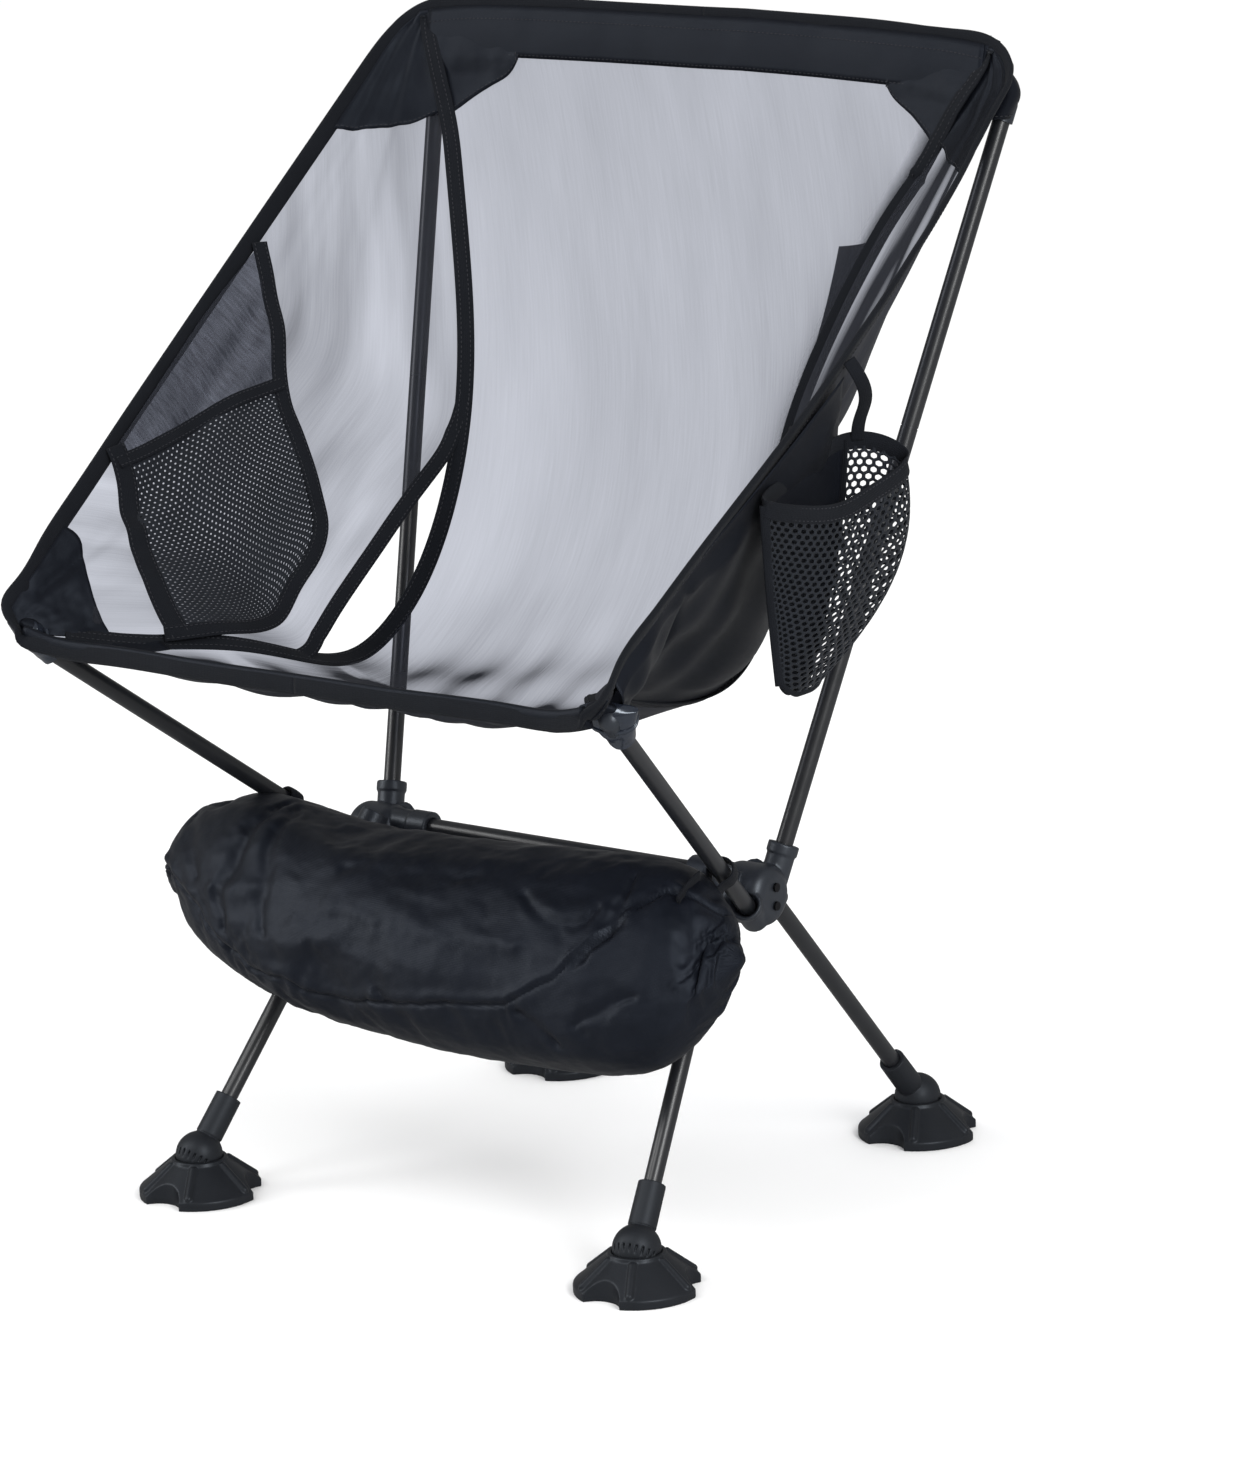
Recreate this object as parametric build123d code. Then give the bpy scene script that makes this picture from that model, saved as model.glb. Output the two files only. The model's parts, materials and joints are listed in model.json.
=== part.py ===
from build123d import *
import math
import os

# Ultralight backpacking chair. Millimetres, +Z up, the sitter faces -Y, "left" is the sitter's left (+X).
# The left half is built and mirrored about the plane X = 0.
# Coordinates below are written about the crossbar (Y = 0); FRAME_SHIFT_Y moves the finished chair
# so that the origin is the middle of its box, on the ground.
FRAME_SHIFT_Y = 15.43

# Tubes
POLE_R = 5.15
POLE_WALL = 0.85
BORE_R = POLE_R + 0.06
CROSSBAR_R = 5.5
CORD_R = 1.3
FERRULE_LENGTH = 60.0

# Upper poles: hub end and tip end of each centre line, left side
REAR_POLE = (Vector(142.2, 13.3, 190.0), Vector(209.57, 171.4, 630.0))
FRONT_POLE = (Vector(144.6, -6.7, 179.3), Vector(211.4, -222.7, 349.4))
REAR_POLE_JOINT = 0.588
# Legs: hub end and ball centre of each centre line, left side
BALL_Z = 24.0
FRONT_LEG = (Vector(131.4, -14.5, 204.0), Vector(162.5, -150.5, BALL_Z))
REAR_LEG = (Vector(130.8, 12.4, 199.0), Vector(136.5, 167.0, BALL_Z))
CROSSBAR_Z = 198.7
CROSSBAR_END_X = 114.0

# Hub sockets, measured along each pole from its hub end
SOCKET_WALL = 3.1
REAR_SOCKET_LENGTH = 28.0
FRONT_SOCKET_LENGTH = 18.0
LEG_SOCKET_LENGTH = 29.0
CROSSBAR_SOCKET_END_X = 97.0
HUB_CENTRE = Vector(138.5, 0.5, 190.5)
HUB_R = 18.0
HUB_WIDTH = 32.0
HUB_ROUND = 8.0
WEB = 5.0
RIVET_R = 1.5
RIVET_HEAD_R = 2.6
RIVET_LENGTH = 6.5

# Leg tips and feet
BALL_R = 14.0
CUP_R = 14.3
TIP_SLEEVE_R = 8.2
TIP_SLEEVE_START = 12.5
TIP_SLEEVE_LENGTH = 26.0
TIP_NECK_R = 7.2
TIP_GROOVES = 22
FOOT_R = 36.5
FOOT_RIM_R = 16.4
FOOT_RIM_Z = 23.0
FOOT_EDGE_Z = 5.0
FOOT_WALL = 2.2
FOOT_LOBES = 3
NOTCH_CENTRE_R = 41.4
NOTCH_R = 14.4
NOTCH_WALL = 2.0
RIB_R = 2.3
RIB_ANGLE = 29.0

# Cloth stand-in thicknesses
CLOTH = 1.4
TAPE = 2.0
SEAM_TAPE = 1.6


def along(line, distance):
    """Point on a pole's centre line, a distance from its first end."""
    start, end = line
    return start + (end - start).normalized() * distance


def span(line):
    return (line[1] - line[0]).length


def frame_at(point, direction):
    return Plane(origin=point, z_dir=direction)


def rod(start, end, radius):
    """Solid cylinder between two points."""
    length = (end - start).length
    shape = Cylinder(radius, length, align=(Align.CENTER, Align.CENTER, Align.MIN))
    return frame_at(start, end - start) * shape


def cone(start, end, start_radius, end_radius):
    length = (end - start).length
    shape = Cone(start_radius, end_radius, length, align=(Align.CENTER, Align.CENTER, Align.MIN))
    return frame_at(start, end - start) * shape


def pipe(start, end, radius, inner_radius):
    """Tube between two points, open at both ends."""
    return rod(start, end, radius) - rod(start, end, inner_radius)


def mirrored(shape):
    return mirror(shape, about=Plane.YZ)


def save(name, shape):
    moved = Pos(0, FRAME_SHIFT_Y, 0) * shape
    export_step(moved, "parts/" + name + ".step")


def save_pair(name, shape):
    save(name + "_left", shape)
    save(name + "_right", mirrored(shape))


# ---------------------------------------------------------------- frame

def socket_sleeve(line, start, end, collar):
    """Outside of one hub socket, with a raised collar at its mouth."""
    radius = BORE_R + SOCKET_WALL
    direction = (line[1] - line[0]).normalized()
    mouth = along(line, end)
    body = rod(along(line, start), mouth, radius)
    return body + rod(mouth - direction * collar, mouth, radius + 0.9)


def hub():
    """Moulded hub: two sockets for the upper poles outboard, two for the legs inboard, one for the crossbar."""
    crossbar_mouth = Vector(CROSSBAR_SOCKET_END_X, 0, CROSSBAR_Z)
    crossbar_root = Vector(HUB_CENTRE.X, 0, CROSSBAR_Z)
    crossbar_outer = CROSSBAR_R + SOCKET_WALL
    core = Cylinder(HUB_R, HUB_WIDTH)
    core = fillet(core.edges().filter_by(GeomType.CIRCLE), HUB_ROUND)
    body = Pos(HUB_CENTRE.X, HUB_CENTRE.Y, HUB_CENTRE.Z) * Rot(0, 90, 0) * core
    body += socket_sleeve(REAR_POLE, -4, REAR_SOCKET_LENGTH, 6.0)
    body += socket_sleeve(FRONT_POLE, -4, FRONT_SOCKET_LENGTH, 4.0)
    body += socket_sleeve(FRONT_LEG, -3, LEG_SOCKET_LENGTH, 5.0)
    body += socket_sleeve(REAR_LEG, -3, LEG_SOCKET_LENGTH, 5.0)
    body += rod(crossbar_root, crossbar_mouth, crossbar_outer)
    body += rod(crossbar_mouth + Vector(14, 0, 0), crossbar_mouth, crossbar_outer + 0.8)
    # webs that tie the sockets together
    for upper, lower in ((REAR_POLE, FRONT_POLE), (REAR_LEG, FRONT_LEG)):
        corners = [along(upper, 6), along(upper, 25), along(lower, 16), along(lower, 6)]
        middle_x = sum(corner.X for corner in corners) / len(corners)
        outline = [Vector(middle_x, corner.Y, corner.Z) for corner in corners]
        body += extrude(make_face(Polyline(*outline, close=True)), WEB / 2, dir=(1, 0, 0), both=True)
    # sockets
    body -= rod(along(REAR_POLE, 0), along(REAR_POLE, REAR_SOCKET_LENGTH + 1), BORE_R)
    body -= rod(along(FRONT_POLE, 0), along(FRONT_POLE, FRONT_SOCKET_LENGTH + 1), BORE_R)
    body -= cone(along(FRONT_POLE, FRONT_SOCKET_LENGTH - 5), along(FRONT_POLE, FRONT_SOCKET_LENGTH),
                 BORE_R, BORE_R + 2.4)
    for leg in (FRONT_LEG, REAR_LEG):
        body -= rod(along(leg, 0), along(leg, LEG_SOCKET_LENGTH + 1), BORE_R)
    body -= rod(Vector(CROSSBAR_END_X, 0, CROSSBAR_Z), crossbar_mouth - Vector(1, 0, 0), CROSSBAR_R)
    # two blind holes for the rivets in the outer face
    for rivet in rivet_places():
        body -= rod(rivet, rivet + Vector(40, 0, 0), RIVET_R)
    return body


def rivet_places():
    """Inner ends of the two rivets that pin the upper poles in the hub."""
    return [Vector(HUB_CENTRE.X + HUB_WIDTH / 2 - RIVET_LENGTH, 1.5, z) for z in (196.0, 185.0)]


def rivets():
    group = []
    for place in rivet_places():
        shank_end = place + Vector(RIVET_LENGTH, 0, 0)
        group.append(rod(place, shank_end, RIVET_R) + rod(shank_end, shank_end + Vector(1.4, 0, 0), RIVET_HEAD_R))
    return Compound(children=group)


def pole_cap(line):
    """Rounded plug on the top end of an upper pole."""
    tip = line[1]
    direction = (tip - line[0]).normalized()
    cap = rod(tip - direction * 12, tip - direction * 2, 6.7)
    cap += frame_at(tip - direction * 2, direction) * Sphere(6.7)
    return cap - rod(tip - direction * 13, tip - direction * 5, POLE_R)


def leg_tip(leg):
    """Rubber boot on a leg: sleeve, neck ring and grooved ball."""
    ball = leg[1]
    up = (leg[0] - ball).normalized()
    sleeve_start = ball + up * TIP_SLEEVE_START
    sleeve_end = sleeve_start + up * TIP_SLEEVE_LENGTH
    plane = Plane(origin=ball, z_dir=up)
    tip = plane * Sphere(BALL_R)
    for index in range(TIP_GROOVES):
        groove = Rot(0, 0, index * 360 / TIP_GROOVES) * Pos(BALL_R - 0.4, 0, -6.2) * Box(3.2, 1.2, 9.0)
        tip -= plane * groove
    tip += rod(ball, sleeve_start, TIP_NECK_R)
    tip += cone(sleeve_start, sleeve_end, TIP_SLEEVE_R, TIP_SLEEVE_R - 0.2)
    return tip - rod(sleeve_start + up * 3, sleeve_end + up * 1, POLE_R)


def foot(ball):
    """Anti-sink foot: cupped rim, three broad lobes between round notches, a rib each side of a notch."""
    under_rim_z = FOOT_RIM_Z - 4.0
    outline = [(8, FOOT_RIM_Z), (FOOT_RIM_R, FOOT_RIM_Z), (FOOT_RIM_R + 0.7, FOOT_RIM_Z - 2.2),
               (FOOT_R, FOOT_EDGE_Z), (FOOT_R, 0), (FOOT_R - FOOT_WALL, 0),
               (FOOT_R - FOOT_WALL, FOOT_EDGE_Z - 1.2), (FOOT_RIM_R - 0.4, under_rim_z), (8, under_rim_z)]
    section = Plane.XZ * make_face(Polyline(*outline, close=True))
    shell = revolve(section, Axis.Z)
    cup = Pos(0, 0, BALL_Z) * Sphere(CUP_R + FOOT_WALL)
    cup -= Pos(0, 0, FOOT_RIM_Z + 20) * Box(60, 60, 40)
    shell += cup
    slope = (FOOT_RIM_Z - 2.2 - FOOT_EDGE_Z) / (FOOT_R - FOOT_RIM_R - 0.7)
    full = cone(Vector(0, 0, FOOT_EDGE_Z), Vector(0, 0, FOOT_RIM_Z - 2.2), FOOT_R, FOOT_RIM_R + 0.7)
    full += rod(Vector(0, 0, 0), Vector(0, 0, FOOT_EDGE_Z), FOOT_R)
    full -= Pos(0, 0, BALL_Z) * Sphere(CUP_R)
    for index in range(FOOT_LOBES):
        notch_angle = index * 360 / FOOT_LOBES - 90
        for side in (-1, 1):
            angle = math.radians(notch_angle + side * RIB_ANGLE)
            out = Vector(math.cos(angle), math.sin(angle), 0)
            high = out * (FOOT_RIM_R + 0.5) + Vector(0, 0, FOOT_RIM_Z - 2.6)
            low = out * (FOOT_R - 2.6) + Vector(0, 0, FOOT_RIM_Z - 2.2 - slope * (FOOT_R - 2.6 - FOOT_RIM_R - 0.7))
            shell += rod(high, low, RIB_R)
            shell += Pos(low.X, low.Y, low.Z) * Sphere(RIB_R)
    for index in range(FOOT_LOBES):
        notch_angle = index * 360 / FOOT_LOBES - 90
        centre = Rot(0, 0, notch_angle) * Pos(NOTCH_CENTRE_R, 0, 0)
        tall = (Align.CENTER, Align.CENTER, Align.MIN)
        shell += full & (centre * Cylinder(NOTCH_R + NOTCH_WALL, 40, align=tall))
        shell -= centre * Cylinder(NOTCH_R, 80)
    return Pos(ball.X, ball.Y, 0) * (shell - Pos(0, 0, BALL_Z) * Sphere(CUP_R))


def build_frame():
    save_pair("hub", hub())
    save_pair("hub_rivets", rivets())
    bar_end = Vector(CROSSBAR_END_X, 0, CROSSBAR_Z)
    save("crossbar", pipe(Vector(-CROSSBAR_END_X, 0, CROSSBAR_Z), bar_end, CROSSBAR_R, CROSSBAR_R - 0.9))

    inner = POLE_R - POLE_WALL
    joint = span(REAR_POLE) * REAR_POLE_JOINT
    cap_seat = 5.0
    save_pair("rear_pole_lower", pipe(REAR_POLE[0], along(REAR_POLE, joint), POLE_R, inner))
    save_pair("rear_pole_upper",
              pipe(along(REAR_POLE, joint + 0.6), along(REAR_POLE, span(REAR_POLE) - cap_seat), POLE_R, inner))
    ferrule = pipe(along(REAR_POLE, joint - FERRULE_LENGTH / 2), along(REAR_POLE, joint + FERRULE_LENGTH / 2),
                   inner, inner - 0.8)
    ferrule += pipe(along(REAR_POLE, joint), along(REAR_POLE, joint + 0.6), POLE_R - 0.4, inner - 0.8)
    save_pair("rear_pole_ferrule", ferrule)
    save_pair("front_pole",
              pipe(FRONT_POLE[0], along(FRONT_POLE, span(FRONT_POLE) - cap_seat), POLE_R, inner))
    save_pair("rear_pole_cap", pole_cap(REAR_POLE))
    save_pair("front_pole_cap", pole_cap(FRONT_POLE))

    cords = [rod(along(pole, 4), along(pole, span(pole) - cap_seat - 3), CORD_R)
             for pole in (REAR_POLE, FRONT_POLE)]
    save_pair("upper_shock_cords", Compound(children=cords))

    for name, leg in (("front", FRONT_LEG), ("rear", REAR_LEG)):
        tube_end = span(leg) - TIP_SLEEVE_START - 3
        save_pair(name + "_leg", pipe(leg[0], along(leg, tube_end), POLE_R, inner))
        save_pair(name + "_leg_tip", leg_tip(leg))
        save_pair(name + "_leg_cord", rod(along(leg, 4), along(leg, tube_end), CORD_R))
        save_pair(name + "_foot", foot(leg[1]))


# ---------------------------------------------------------------- seat

# Stations down the seat, from the top band to the front hem: the seam between centre and side panel (left
# side), and the middle of the centre panel.
SEAM = [(200, 158, 646), (184, 149, 607), (147, 110, 533), (122, 78, 455), (119, 55, 390), (127, 22, 330),
        (127, -10, 311), (120, -55, 310), (119, -91, 320), (133, -133, 334), (178, -187, 341), (190, -219, 345)]
MIDDLE = [(0, 163, 646), (0, 155, 607), (0, 132, 533), (0, 109, 458), (0, 87, 392), (0, 50, 332),
          (0, 6, 302), (0, -50, 292), (0, -102, 300), (0, -155, 318), (0, -205, 332), (0, -227, 338)]
# Outer edge of the side panel: a cubic curve from the rear corner to the front corner
EDGE = [(224, 150, 656), (262, 45, 533), (205, -215, 398), (217, -231, 362)]
# A long vent opens between the seam and the straight tape that joins these two points
VENT_TOP = (118, 66, 420)
VENT_BOTTOM = (119, -78, 316)
VENT_MIDDLE = (121, -6, 368)
TOP_EDGE_Z = 671.0
TOP_BAND_Z = 648.0
PANEL_CURL = 2.4
SEAM_GAP = 2.5


def sheet(rows, thickness):
    """Thin closed solid over a grid of points."""
    face = Face.make_surface_from_array_of_points(rows, tol=0.3, min_deg=3, max_deg=5)
    return Solid.thicken(face, thickness)


def tape(points, half_width, thickness=TAPE):
    """Flat webbing along a run of points; half_width is a vector across it."""
    rows = [[Vector(*point) - half_width, Vector(*point), Vector(*point) + half_width] for point in points]
    face = Face.make_surface_from_array_of_points(rows, tol=0.3, min_deg=1, max_deg=5)
    return Solid.thicken(face, thickness)


def fractions(start, end, count):
    return [start + (end - start) * index / (count - 1) for index in range(count)]


def centre_panel():
    """Hammock-shaped panel between the two seams, deepest in the middle."""
    seam = Spline(*SEAM)
    middle = Spline(*MIDDLE)
    rows = []
    for fraction in fractions(0, 0.985, 15):
        edge = seam @ fraction
        mid = middle @ fraction
        line = []
        for column in range(9):
            side = column / 4 - 1
            lift = abs(side) ** PANEL_CURL
            line.append(Vector(side * (edge.X - SEAM_GAP), mid.Y + (edge.Y - mid.Y) * lift,
                               mid.Z + (edge.Z - mid.Z) * lift))
        rows.append(line)
    return sheet(rows, CLOTH)


def side_boundaries():
    """Inner (seam and vent) and outer (bound edge) boundaries of the left side panel."""
    inner = Spline(SEAM[1], SEAM[2], SEAM[3], VENT_TOP, VENT_MIDDLE, VENT_BOTTOM, SEAM[8], SEAM[9], SEAM[10])
    return inner, Bezier(*EDGE)


def side_point(fraction, share, lift=0.0):
    """Point of the left side panel: share 0 at the inner boundary, 1 at the outer edge; lift is towards the sitter."""
    inner, outer = side_boundaries()
    start = inner @ fraction
    end = outer @ fraction
    ahead = (inner @ min(fraction + 0.02, 1)) + (outer @ min(fraction + 0.02, 1))
    behind = (inner @ max(fraction - 0.02, 0)) + (outer @ max(fraction - 0.02, 0))
    normal = (end - start).cross(ahead - behind).normalized()
    if normal.X > 0:
        normal = normal * -1
    return start + (end - start) * share + normal * lift


def side_panel():
    rows = []
    for fraction in fractions(0.06, 0.94, 13):
        start = side_point(fraction, 0) + Vector(SEAM_GAP, 0, 0)
        end = side_point(fraction, 1)
        gap = (end - start).normalized() * SEAM_GAP
        rows.append([start + gap, start + (end - start) * 0.33, start + (end - start) * 0.67, end - gap])
    return sheet(rows, CLOTH)


def side_binding():
    """Webbing that binds the outer edge."""
    rows = []
    for fraction in fractions(0.05, 0.95, 13):
        edge = side_point(fraction, 1)
        out = (edge - side_point(fraction, 0)).normalized()
        rows.append([edge, edge + out * 3, edge + out * 5])
    return sheet(rows, TAPE)


def seam_tape():
    seam = Spline(*SEAM)
    return tape([seam @ fraction for fraction in fractions(0.12, 0.88, 17)], Vector(SEAM_TAPE / 2, 0, 0), CLOTH)


def vent_tape():
    """Tape along the straight edge of the vent."""
    top = Vector(*VENT_TOP)
    bottom = Vector(*VENT_BOTTOM)
    points = [top + (bottom - top) * fraction + Vector(2, 0, 2) for fraction in (0.12, 0.3, 0.5, 0.7, 0.88)]
    return tape(points, Vector(1.0, 0, 0))


def top_band():
    rows = []
    for fraction in fractions(-1, 1, 13):
        drop = fraction ** 4
        rows.append([Vector(198 * fraction, 163.5 - 5 * fraction ** 2, TOP_BAND_Z),
                     Vector(204 * fraction, 165 - 8 * fraction ** 2, (TOP_BAND_Z + TOP_EDGE_Z) / 2),
                     Vector(200 * fraction, 166 - 10 * fraction ** 2, TOP_EDGE_Z - 1.5 * drop)])
    return sheet(rows, TAPE)


def front_hem():
    rows = []
    for fraction in fractions(-1, 1, 9):
        y = -231 + 7 * fraction ** 2
        rows.append([Vector(188 * fraction, y, 340 + 4 * fraction ** 2), Vector(188 * fraction, y - 1, 346),
                     Vector(188 * fraction, y, 353)])
    return sheet(rows, TAPE)


def corner_pocket(pole, length):
    """Sleeve sewn to a corner of the seat, which the capped pole end slips into."""
    tip = pole[1]
    direction = (tip - pole[0]).normalized()
    sleeve = rod(tip - direction * length, tip + direction * 7.5, POCKET_R)
    return sleeve - rod(tip - direction * (length + 1), tip + direction * 5.4, POCKET_R - 1.8)


def stash_pocket(lower, upper, lift):
    """Flat pocket layer on the inner face of the side panel."""
    rows = []
    for fraction in fractions(0.36, 0.74, 7):
        rows.append([side_point(fraction, share, lift) for share in fractions(lower, upper, 4)])
    return sheet(rows, CLOTH)


def cup_sections(inset):
    """Outline of the cup pocket, from its hem down."""
    sections = []
    for z, centre_x, centre_y, half_x, half_y in CUP_POCKET:
        sections.append(Pos(centre_x, centre_y, z) * Ellipse(half_x - inset, half_y - inset))
    return sections


def cup_pocket():
    cup = loft(cup_sections(0))
    hollow = loft([Pos(0, 0, 1.5 * (index == len(CUP_POCKET) - 1)) * section
                   for index, section in enumerate(cup_sections(CLOTH))])
    return cup - hollow


def cup_pocket_parts():
    """Mesh cup, the hem round its mouth and the strap that ties the hem to the bound edge."""
    whole = cup_pocket()
    hem_zone = Pos(228, -40, CUP_POCKET[0][0] - CUP_HEM / 2) * Box(80, 200, CUP_HEM)
    strap = tape([(236.5, -20, 509), (234, -8, 480), (230, 8, 442)], Vector(0, 4, 0), 1.4)
    return whole - hem_zone, whole & hem_zone, strap


POCKET_R = 9.2
# Cup pocket outline: height, centre X and Y, half widths in X and Y
CUP_POCKET = [(440, 227.5, -40, 12, 58), (405, 228, -37, 12.5, 54), (365, 226, -52, 10.5, 38), (338, 224, -66, 6.5, 20)]
CUP_HEM = 10.0


# ---------------------------------------------------------------- storage bag

# The bag lies against the front of the front legs. Outline along X: half length up the legs, half depth,
# and how far its middle is raised towards the ends.
BAG = [(0, 68, 40, 0), (80, 67, 39.5, 0), (140, 60, 36, 0), (180, 48, 29, 2), (205, 28, 16, 6)]
BAG_MIDDLE_Z = 140.0
BAG_TO_LEG = 7.2
STRAP_AT = 0.765
STRAP_WIDTH = 10.0
STRAP_R = 7.0


def storage_bag():
    leg_top, leg_ball = FRONT_LEG
    lean = Vector(0, leg_top.Y - leg_ball.Y, leg_top.Z - leg_ball.Z).normalized()
    out = Vector(0, -lean.Z, lean.Y)
    sections = []
    for x, half_length, half_depth, rise in [(-x, *rest) for x, *rest in reversed(BAG[1:])] + BAG:
        share = (BAG_MIDDLE_Z + rise - leg_ball.Z) / (leg_top.Z - leg_ball.Z)
        on_leg = leg_ball + (leg_top - leg_ball) * share
        centre = Vector(x, on_leg.Y, on_leg.Z) + out * (half_depth + BAG_TO_LEG)
        plane = Plane(origin=centre, x_dir=lean, z_dir=(1, 0, 0))
        sections.append(plane * Ellipse(half_length, half_depth))
    return loft(sections)


def bag_strap():
    """Webbing loop round a front pole, with a tail sewn to the bag."""
    tip, base = FRONT_POLE[1], FRONT_POLE[0]
    centre = tip + (base - tip) * STRAP_AT
    direction = (tip - base).normalized()
    start = centre - direction * (STRAP_WIDTH / 2)
    end = centre + direction * (STRAP_WIDTH / 2)
    down = Vector(0, -10, -50)
    tail = Box(STRAP_WIDTH, CLOTH, down.length, align=(Align.CENTER, Align.CENTER, Align.MIN))
    strap = pipe(start, end, STRAP_R + CLOTH, STRAP_R)
    strap += Plane(origin=centre, x_dir=(1, 0, 0), z_dir=down) * tail - rod(start, end, STRAP_R)
    return strap - storage_bag()


def build_seat():
    save("seat_centre_panel", centre_panel())
    save_pair("seat_side_panel", side_panel())
    save_pair("side_binding", side_binding())
    save_pair("seam_tape", seam_tape())
    save_pair("vent_tape", vent_tape())
    save("top_band", top_band())
    save("front_hem", front_hem())
    save_pair("rear_corner_pocket", corner_pocket(REAR_POLE, 42))
    save_pair("front_corner_pocket", corner_pocket(FRONT_POLE, 26))
    save("stash_pocket_lining_right", mirrored(stash_pocket(0.62, 0.9, 3.0)))
    save("stash_pocket_right", mirrored(stash_pocket(0.1, 0.58, 4.0)))
    cup, hem, strap = cup_pocket_parts()
    save("cup_pocket_left", cup)
    save("cup_pocket_hem_left", hem)
    save("cup_pocket_strap_left", strap)


def build_bag():
    save("storage_bag", storage_bag())
    save_pair("bag_strap", bag_strap())


if __name__ == "__main__":
    os.makedirs("parts", exist_ok=True)
    build_frame()
    build_seat()
    build_bag()
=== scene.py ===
import json
import math

import bpy
import numpy as np
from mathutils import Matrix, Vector, noise


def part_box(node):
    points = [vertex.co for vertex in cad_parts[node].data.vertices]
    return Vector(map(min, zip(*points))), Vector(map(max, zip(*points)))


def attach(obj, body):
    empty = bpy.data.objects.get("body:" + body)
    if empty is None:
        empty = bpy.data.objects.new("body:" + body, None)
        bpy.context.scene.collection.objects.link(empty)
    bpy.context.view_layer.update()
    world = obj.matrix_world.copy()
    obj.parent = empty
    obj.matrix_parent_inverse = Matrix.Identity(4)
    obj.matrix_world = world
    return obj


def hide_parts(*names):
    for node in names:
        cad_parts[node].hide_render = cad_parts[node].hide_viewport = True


# Ultralight backpacking chair: fabric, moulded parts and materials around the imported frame.
# Lengths below are millimetres, written about the crossbar (Y = 0 there), +X the sitter's left.
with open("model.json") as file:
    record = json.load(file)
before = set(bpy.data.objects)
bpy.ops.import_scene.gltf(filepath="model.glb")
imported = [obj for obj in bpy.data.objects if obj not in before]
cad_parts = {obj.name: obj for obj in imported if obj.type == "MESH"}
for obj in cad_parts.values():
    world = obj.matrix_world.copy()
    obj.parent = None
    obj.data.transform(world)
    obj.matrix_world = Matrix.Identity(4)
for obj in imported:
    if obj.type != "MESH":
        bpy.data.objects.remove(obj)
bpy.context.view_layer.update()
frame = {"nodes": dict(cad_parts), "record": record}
MM = 0.001
LEFT, RIGHT = 1, -1
SIDES = ((LEFT, "left"), (RIGHT, "right"))


def box_middle(node):
    low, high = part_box(node)
    return (low + high) / 2


CROSSBAR_Y = box_middle("crossbar").y / MM


# ---------------------------------------------------------------- materials

class Tree:
    """Node tree of a material or a world, whose nodes take numbers, colours or other nodes' outputs."""

    def __init__(self, owner):
        owner.use_nodes = True
        self.owner = owner
        self.nodes, self.links = owner.node_tree.nodes, owner.node_tree.links

    def new(self, kind):
        return self.nodes.new("ShaderNode" + kind)

    def fill(self, node, inputs, output=None):
        """Sets a node's inputs and returns the output asked for."""
        for key, value in inputs.items():
            if isinstance(value, bpy.types.NodeSocket):
                self.links.new(value, node.inputs[key])
            else:
                node.inputs[key].default_value = value
        return node.outputs[output] if output else None

    def surface(self, inputs):
        """Sets the Principled surface and returns the material."""
        self.fill(self.nodes["Principled BSDF"], inputs)
        return self.owner

    def place(self, use_uv, scale=(1, 1, 1)):
        """Texture coordinates in metres: along and across a strip (UV), or in space (object)."""
        source = self.new("TexCoord").outputs["UV" if use_uv else "Object"]
        return self.fill(self.new("Mapping"), {"Vector": source, "Scale": scale}, "Vector")

    def noise(self, place, scale, detail):
        return self.fill(self.new("TexNoise"), {"Vector": place, "Scale": scale, "Detail": detail}, "Fac")

    def wave(self, place, direction, scale):
        texture = self.new("TexWave")
        texture.bands_direction = direction
        return self.fill(texture, {"Vector": place, "Scale": scale, "Distortion": 0.0}, "Fac")

    def ramp(self, value, low, high):
        """Maps 0..1 to low..high."""
        return self.fill(self.new("MapRange"), {"Value": value, "To Min": low, "To Max": high}, "Result")

    def tint(self, value, dark, light):
        blend = self.new("Mix")
        blend.data_type = "RGBA"
        return self.fill(blend, {"A": (*dark, 1), "B": (*light, 1), "Factor": value}, "Result")

    def math(self, operation, first, second, clamp=False):
        node = self.new("Math")
        node.operation, node.use_clamp = operation, clamp
        return self.fill(node, {0: first, 1: second}, "Value")

    def bump(self, height, distance, strength, below=None):
        inputs = {"Height": height, "Distance": distance, "Strength": strength}
        if below is not None:
            inputs["Normal"] = below
        return self.fill(self.new("Bump"), inputs, "Normal")


# Cool tints of what plastic and cloth reflect, and of what shows through the fine mesh
PLASTIC_TINT = (0.82, 0.90, 1.0, 1)
CLOTH_TINT = (0.72, 0.82, 1.0, 1)
SHEER_TINT = (0.87, 0.90, 1.0)
SHEER_SLANT_POWER = 0.65
# Stretch and scale of the noise that paints fold shading, as darker and lighter stripes, into the fine mesh
SHEER_FOLD_SHADE_STRETCH = (0.22, 1.0, 1.0)
SHEER_FOLD_SHADE_SCALE = 26
# Width, in metres, over which the painted shade beside the left seam fades out
SEAM_SHADE_WIDTH = 0.026


def new_tree(name):
    return Tree(bpy.data.materials.new(name))


def tube_material():
    """Black anodised tube: fine drawn streaks and a few dull patches."""
    tree = new_tree("tube_anodised")
    place = tree.place(False)
    patches, grain = tree.noise(place, 60, 4), tree.noise(place, 2600, 2)
    return tree.surface({
        "Base Color": tree.tint(patches, (0.007, 0.008, 0.010), (0.014, 0.015, 0.018)),
        "Roughness": tree.ramp(patches, 0.26, 0.40),
        "Normal": tree.bump(grain, 0.00004, 0.4),
        "Specular IOR Level": 0.75,
    })


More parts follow.
